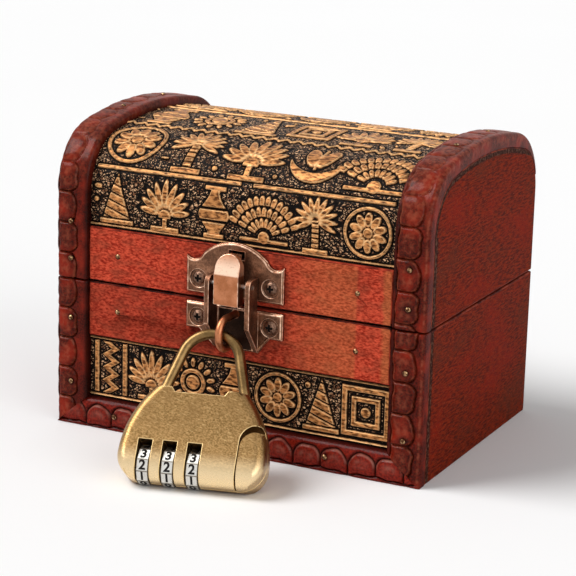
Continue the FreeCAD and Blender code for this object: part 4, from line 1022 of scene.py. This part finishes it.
# Padlock: a cast two-part case with a thumb slider beside its dials, finished in antique brass, and a bent
# shackle. It hangs from the hasp's ring by the shackle and leans on its foot.
@finished(METAL)
def lock_brass(place):
    """Antique brass: a fine mottle of olive and brown under slanting, paler scratches, with a painted highlight at
    the foot.

    It darkens towards the shoulders."""
    mottle = place.noise(0.00034, 4, (1.6, 1, 1), 0.4)
    clouds = place.noise(0.006, 4).above(0.36, 0.7)
    scratches = place.noise(0.00015, 2, (16, 2, 5)).above(0.56, 0.72)
    z = place.axis("Z")
    # A painted highlight band low on the case: the floor's reflection in its rounded foot.
    foot = z.band(0.0002, 0.003, 0.0055, 0.0115)
    dark = clouds.between((108, 82, 45), (132, 101, 60))
    metal = mottle.above(0.3, 0.7).between(dark, (168, 133, 87))
    metal = (z.above(0.011, 0.019) * (0.15 + clouds * 0.25)).between(metal, (88, 64, 36))
    scored = (scratches * 0.3).between(metal, (206, 174, 122))
    colour = (foot * 0.85).between(scored, (248, 222, 176))
    return colour, 0.28 + mottle * 0.12 - foot * 0.06, (mottle + scratches * 0.3).bump(0.00003)


@finished(METAL)
def shackle_brass(place):
    """Brass rod: darker than the case, with faint draw lines."""
    lines = place.noise(0.0004, 4)
    clouds = place.noise(0.004, 4).above(0.36, 0.7)
    colour = (lines * 0.4 + clouds * 0.4).between((78, 59, 33), (172, 138, 90))
    return colour, 0.24 + lines * 0.12, lines.bump(0.00002)


OUTLINE = math.radians(60)
bright_brass = finish("bright_brass", patchy((200, 164, 104), (244, 216, 164), (0.0014, 4), 0.24, 0.14), METAL)
# The slider's edges are painted dark as the shade in the gap round it.
gap_shade_brass = finish("gap_shade_brass", patchy((40, 27, 14), (112, 84, 48), (0.0006, 4), 0.34, 0.14), METAL)
for part in ("lock_front_case", "lock_rear_case", "lock_bolt"):
    eased(part, [lock_brass, bright_brass], 0.0002)
slider = eased("lock_slider", [lock_brass, gap_shade_brass], 0.0002)
slider.modifiers[0].angle_limit = OUTLINE
eased("lock_shackle", [shackle_brass, shackle_brass], 0.0001)
coat(lock_brass, "lock_shackle_pin", "lock_case_screws", "lock_dial_axle")


# Dials: three ten-sided wheels of bright metal that turn on the axle, with a black number on every flat.
# The code shows in the windows of the front case.
@finished(METAL)
def dial_metal(place):
    """Pale nickel with brown dirt in patches."""
    lines = place.noise(0.0002, 3)
    dirt = place.noise(0.0012, 4).above(0.55, 0.75)
    colour = (dirt * 0.5).between((214, 212, 206), (128, 120, 108))
    return colour, 0.3 + lines * 0.2, lines.bump(0.00003)


DIAL_FLATS = 10
BACK_NUMBER = 7
DIAL_RADIUS = 0.005
NUMBER_HEIGHT = 0.0034
NUMBER_BOLD = 0.00012
NUMBER_RISE = 0.00002
dial_edge = finish("dial_edge", patchy((92, 84, 72), (176, 170, 160), (0.0005, 3), 0.4, 0.2), METAL)
rubbed_ink = patchy((12, 11, 11), (46, 42, 40), (0.0004, 3), 0.6, 0.2)
number_ink = finish("number_ink", rubbed_ink, {GLOSS: 0.1})
joints = {joint["name"]: joint for joint in frame["joints"]}
lock_back = Vector(joints["padlock_release"]["axis"])
lock_up = Vector(joints["slider_travel"]["axis"])
for side in ("left", "middle", "right"):
    dial = f"lock_{side}_dial"
    eased(dial, [dial_metal, dial_edge], 0.0002)
    joint = joints[f"{side}_dial_turn"]
    axle, hub = Vector(joint["axis"]), Vector(joint["pos_m"])
    numbers = bmesh.new()
    for flat in range(DIAL_FLATS):
        turn = math.tau * (flat + 0.5) / DIAL_FLATS
        outward = lock_back * math.cos(turn) + lock_up * math.sin(turn)
        upward = lock_back * math.sin(turn) - lock_up * math.cos(turn)
        words = bpy.data.curves.new("number", "FONT")
        words.body, words.size = str((BACK_NUMBER - flat) % DIAL_FLATS), NUMBER_HEIGHT
        words.align_x, words.align_y = "CENTER", "CENTER"
        words.extrude, words.offset = NUMBER_RISE, NUMBER_BOLD
        text = bpy.data.objects.new("number", words)
        shape = bpy.data.meshes.new_from_object(text)
        seat = hub + outward * (DIAL_RADIUS * math.cos(math.pi / DIAL_FLATS) + NUMBER_RISE / 2)
        shape.transform(Matrix((axle, upward, outward)).transposed().to_4x4())
        shape.transform(Matrix.Translation(seat))
        numbers.from_mesh(shape)
        bpy.data.objects.remove(text)
    mesh = bpy.data.meshes.new(f"{side}_dial_numbers")
    numbers.to_mesh(mesh)
    numbers.free()
    piece = linked(f"{side}_dial_numbers", mesh)
    mesh.materials.append(number_ink)
    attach(piece, body_of[dial])


# Stage: a plain white floor under a broad soft key light over the left shoulder and a weaker one from the right.
# The camera stands where the photograph was taken from.
def floor_look(place):
    """White card, very faintly uneven."""
    return place.noise(0.2, 1).between([248.16] * 3, [250.46] * 3), 0.9


FLOOR_HALF = 3.0
floor_mesh = bpy.data.meshes.new("floor")
ways = ((-1, -1), (1, -1), (1, 1), (-1, 1))
floor_mesh.from_pydata([(x * FLOOR_HALF, y * FLOOR_HALF, 0) for x, y in ways], [], [(0, 1, 2, 3)])
floor = linked("floor", floor_mesh)
floor_mesh.materials.append(finish("floor", floor_look, {GLOSS: 0.0}))

world = bpy.data.worlds.new("studio")
bpy.context.scene.world = world
world.use_nodes = True
tree = world.node_tree
tree.nodes.clear()
rays = ("Is Camera Ray", "Is Glossy Ray", "Is Transmission Ray")
seen, mirrored, through = (Wire(tree).add("LightPath", None, None, ray) for ray in rays)
soft, white = (seen.add("Background", None, {"Color": (1, 1, 1, 1), "Strength": glow}) for glow in (0.36, 1.0))
shown = seen.add("MixShader", None, {0: seen | mirrored | through, 1: soft, 2: white})
output = tree.nodes.new("ShaderNodeOutputWorld")
tree.links.new(shown.socket, output.inputs["Surface"])


def light_from(name, direction, strength, spread):
    """Soft light from far off in one direction, spread over a disc that many degrees across."""
    light = bpy.data.lights.new(name, "SUN")
    light.energy, light.angle = strength, math.radians(spread)
    linked(name, light).rotation_euler = Vector(direction).to_track_quat("Z", "Y").to_euler()


light_from("key_light", (-0.56, -0.31, 0.77), 2.35, 34)
light_from("side_light", (0.85, -0.35, 0.4), 0.8, 50)

AZIMUTH, ELEVATION, ROLL = math.radians(26.1163), math.radians(15.0118), math.radians(-1.5173)
DISTANCE = 0.599498
TARGET = Vector((-0.0027475, 0.0, 0.036369))
FOCAL_PIXELS = 2178.38
IMAGE_PIXELS = 576
ahead = math.cos(ELEVATION)
away = Vector((math.sin(AZIMUTH) * ahead, -math.cos(AZIMUTH) * ahead, math.sin(ELEVATION)))
level = Vector((0, 0, 1)).cross(away).normalized()
upright = away.cross(level)
right = level * math.cos(ROLL) - upright * math.sin(ROLL)
above = away.cross(right)
lens = bpy.data.cameras.new("camera")
lens.sensor_width = 36.0
lens.lens = FOCAL_PIXELS * lens.sensor_width / IMAGE_PIXELS
lens.clip_start = 0.01
camera = linked("camera", lens)
turned = Matrix((right, above, away)).transposed().to_4x4()
camera.matrix_world = Matrix.Translation(TARGET + away * DISTANCE) @ turned
bpy.context.scene.camera = camera
bpy.context.scene.view_settings.view_transform = "Standard"
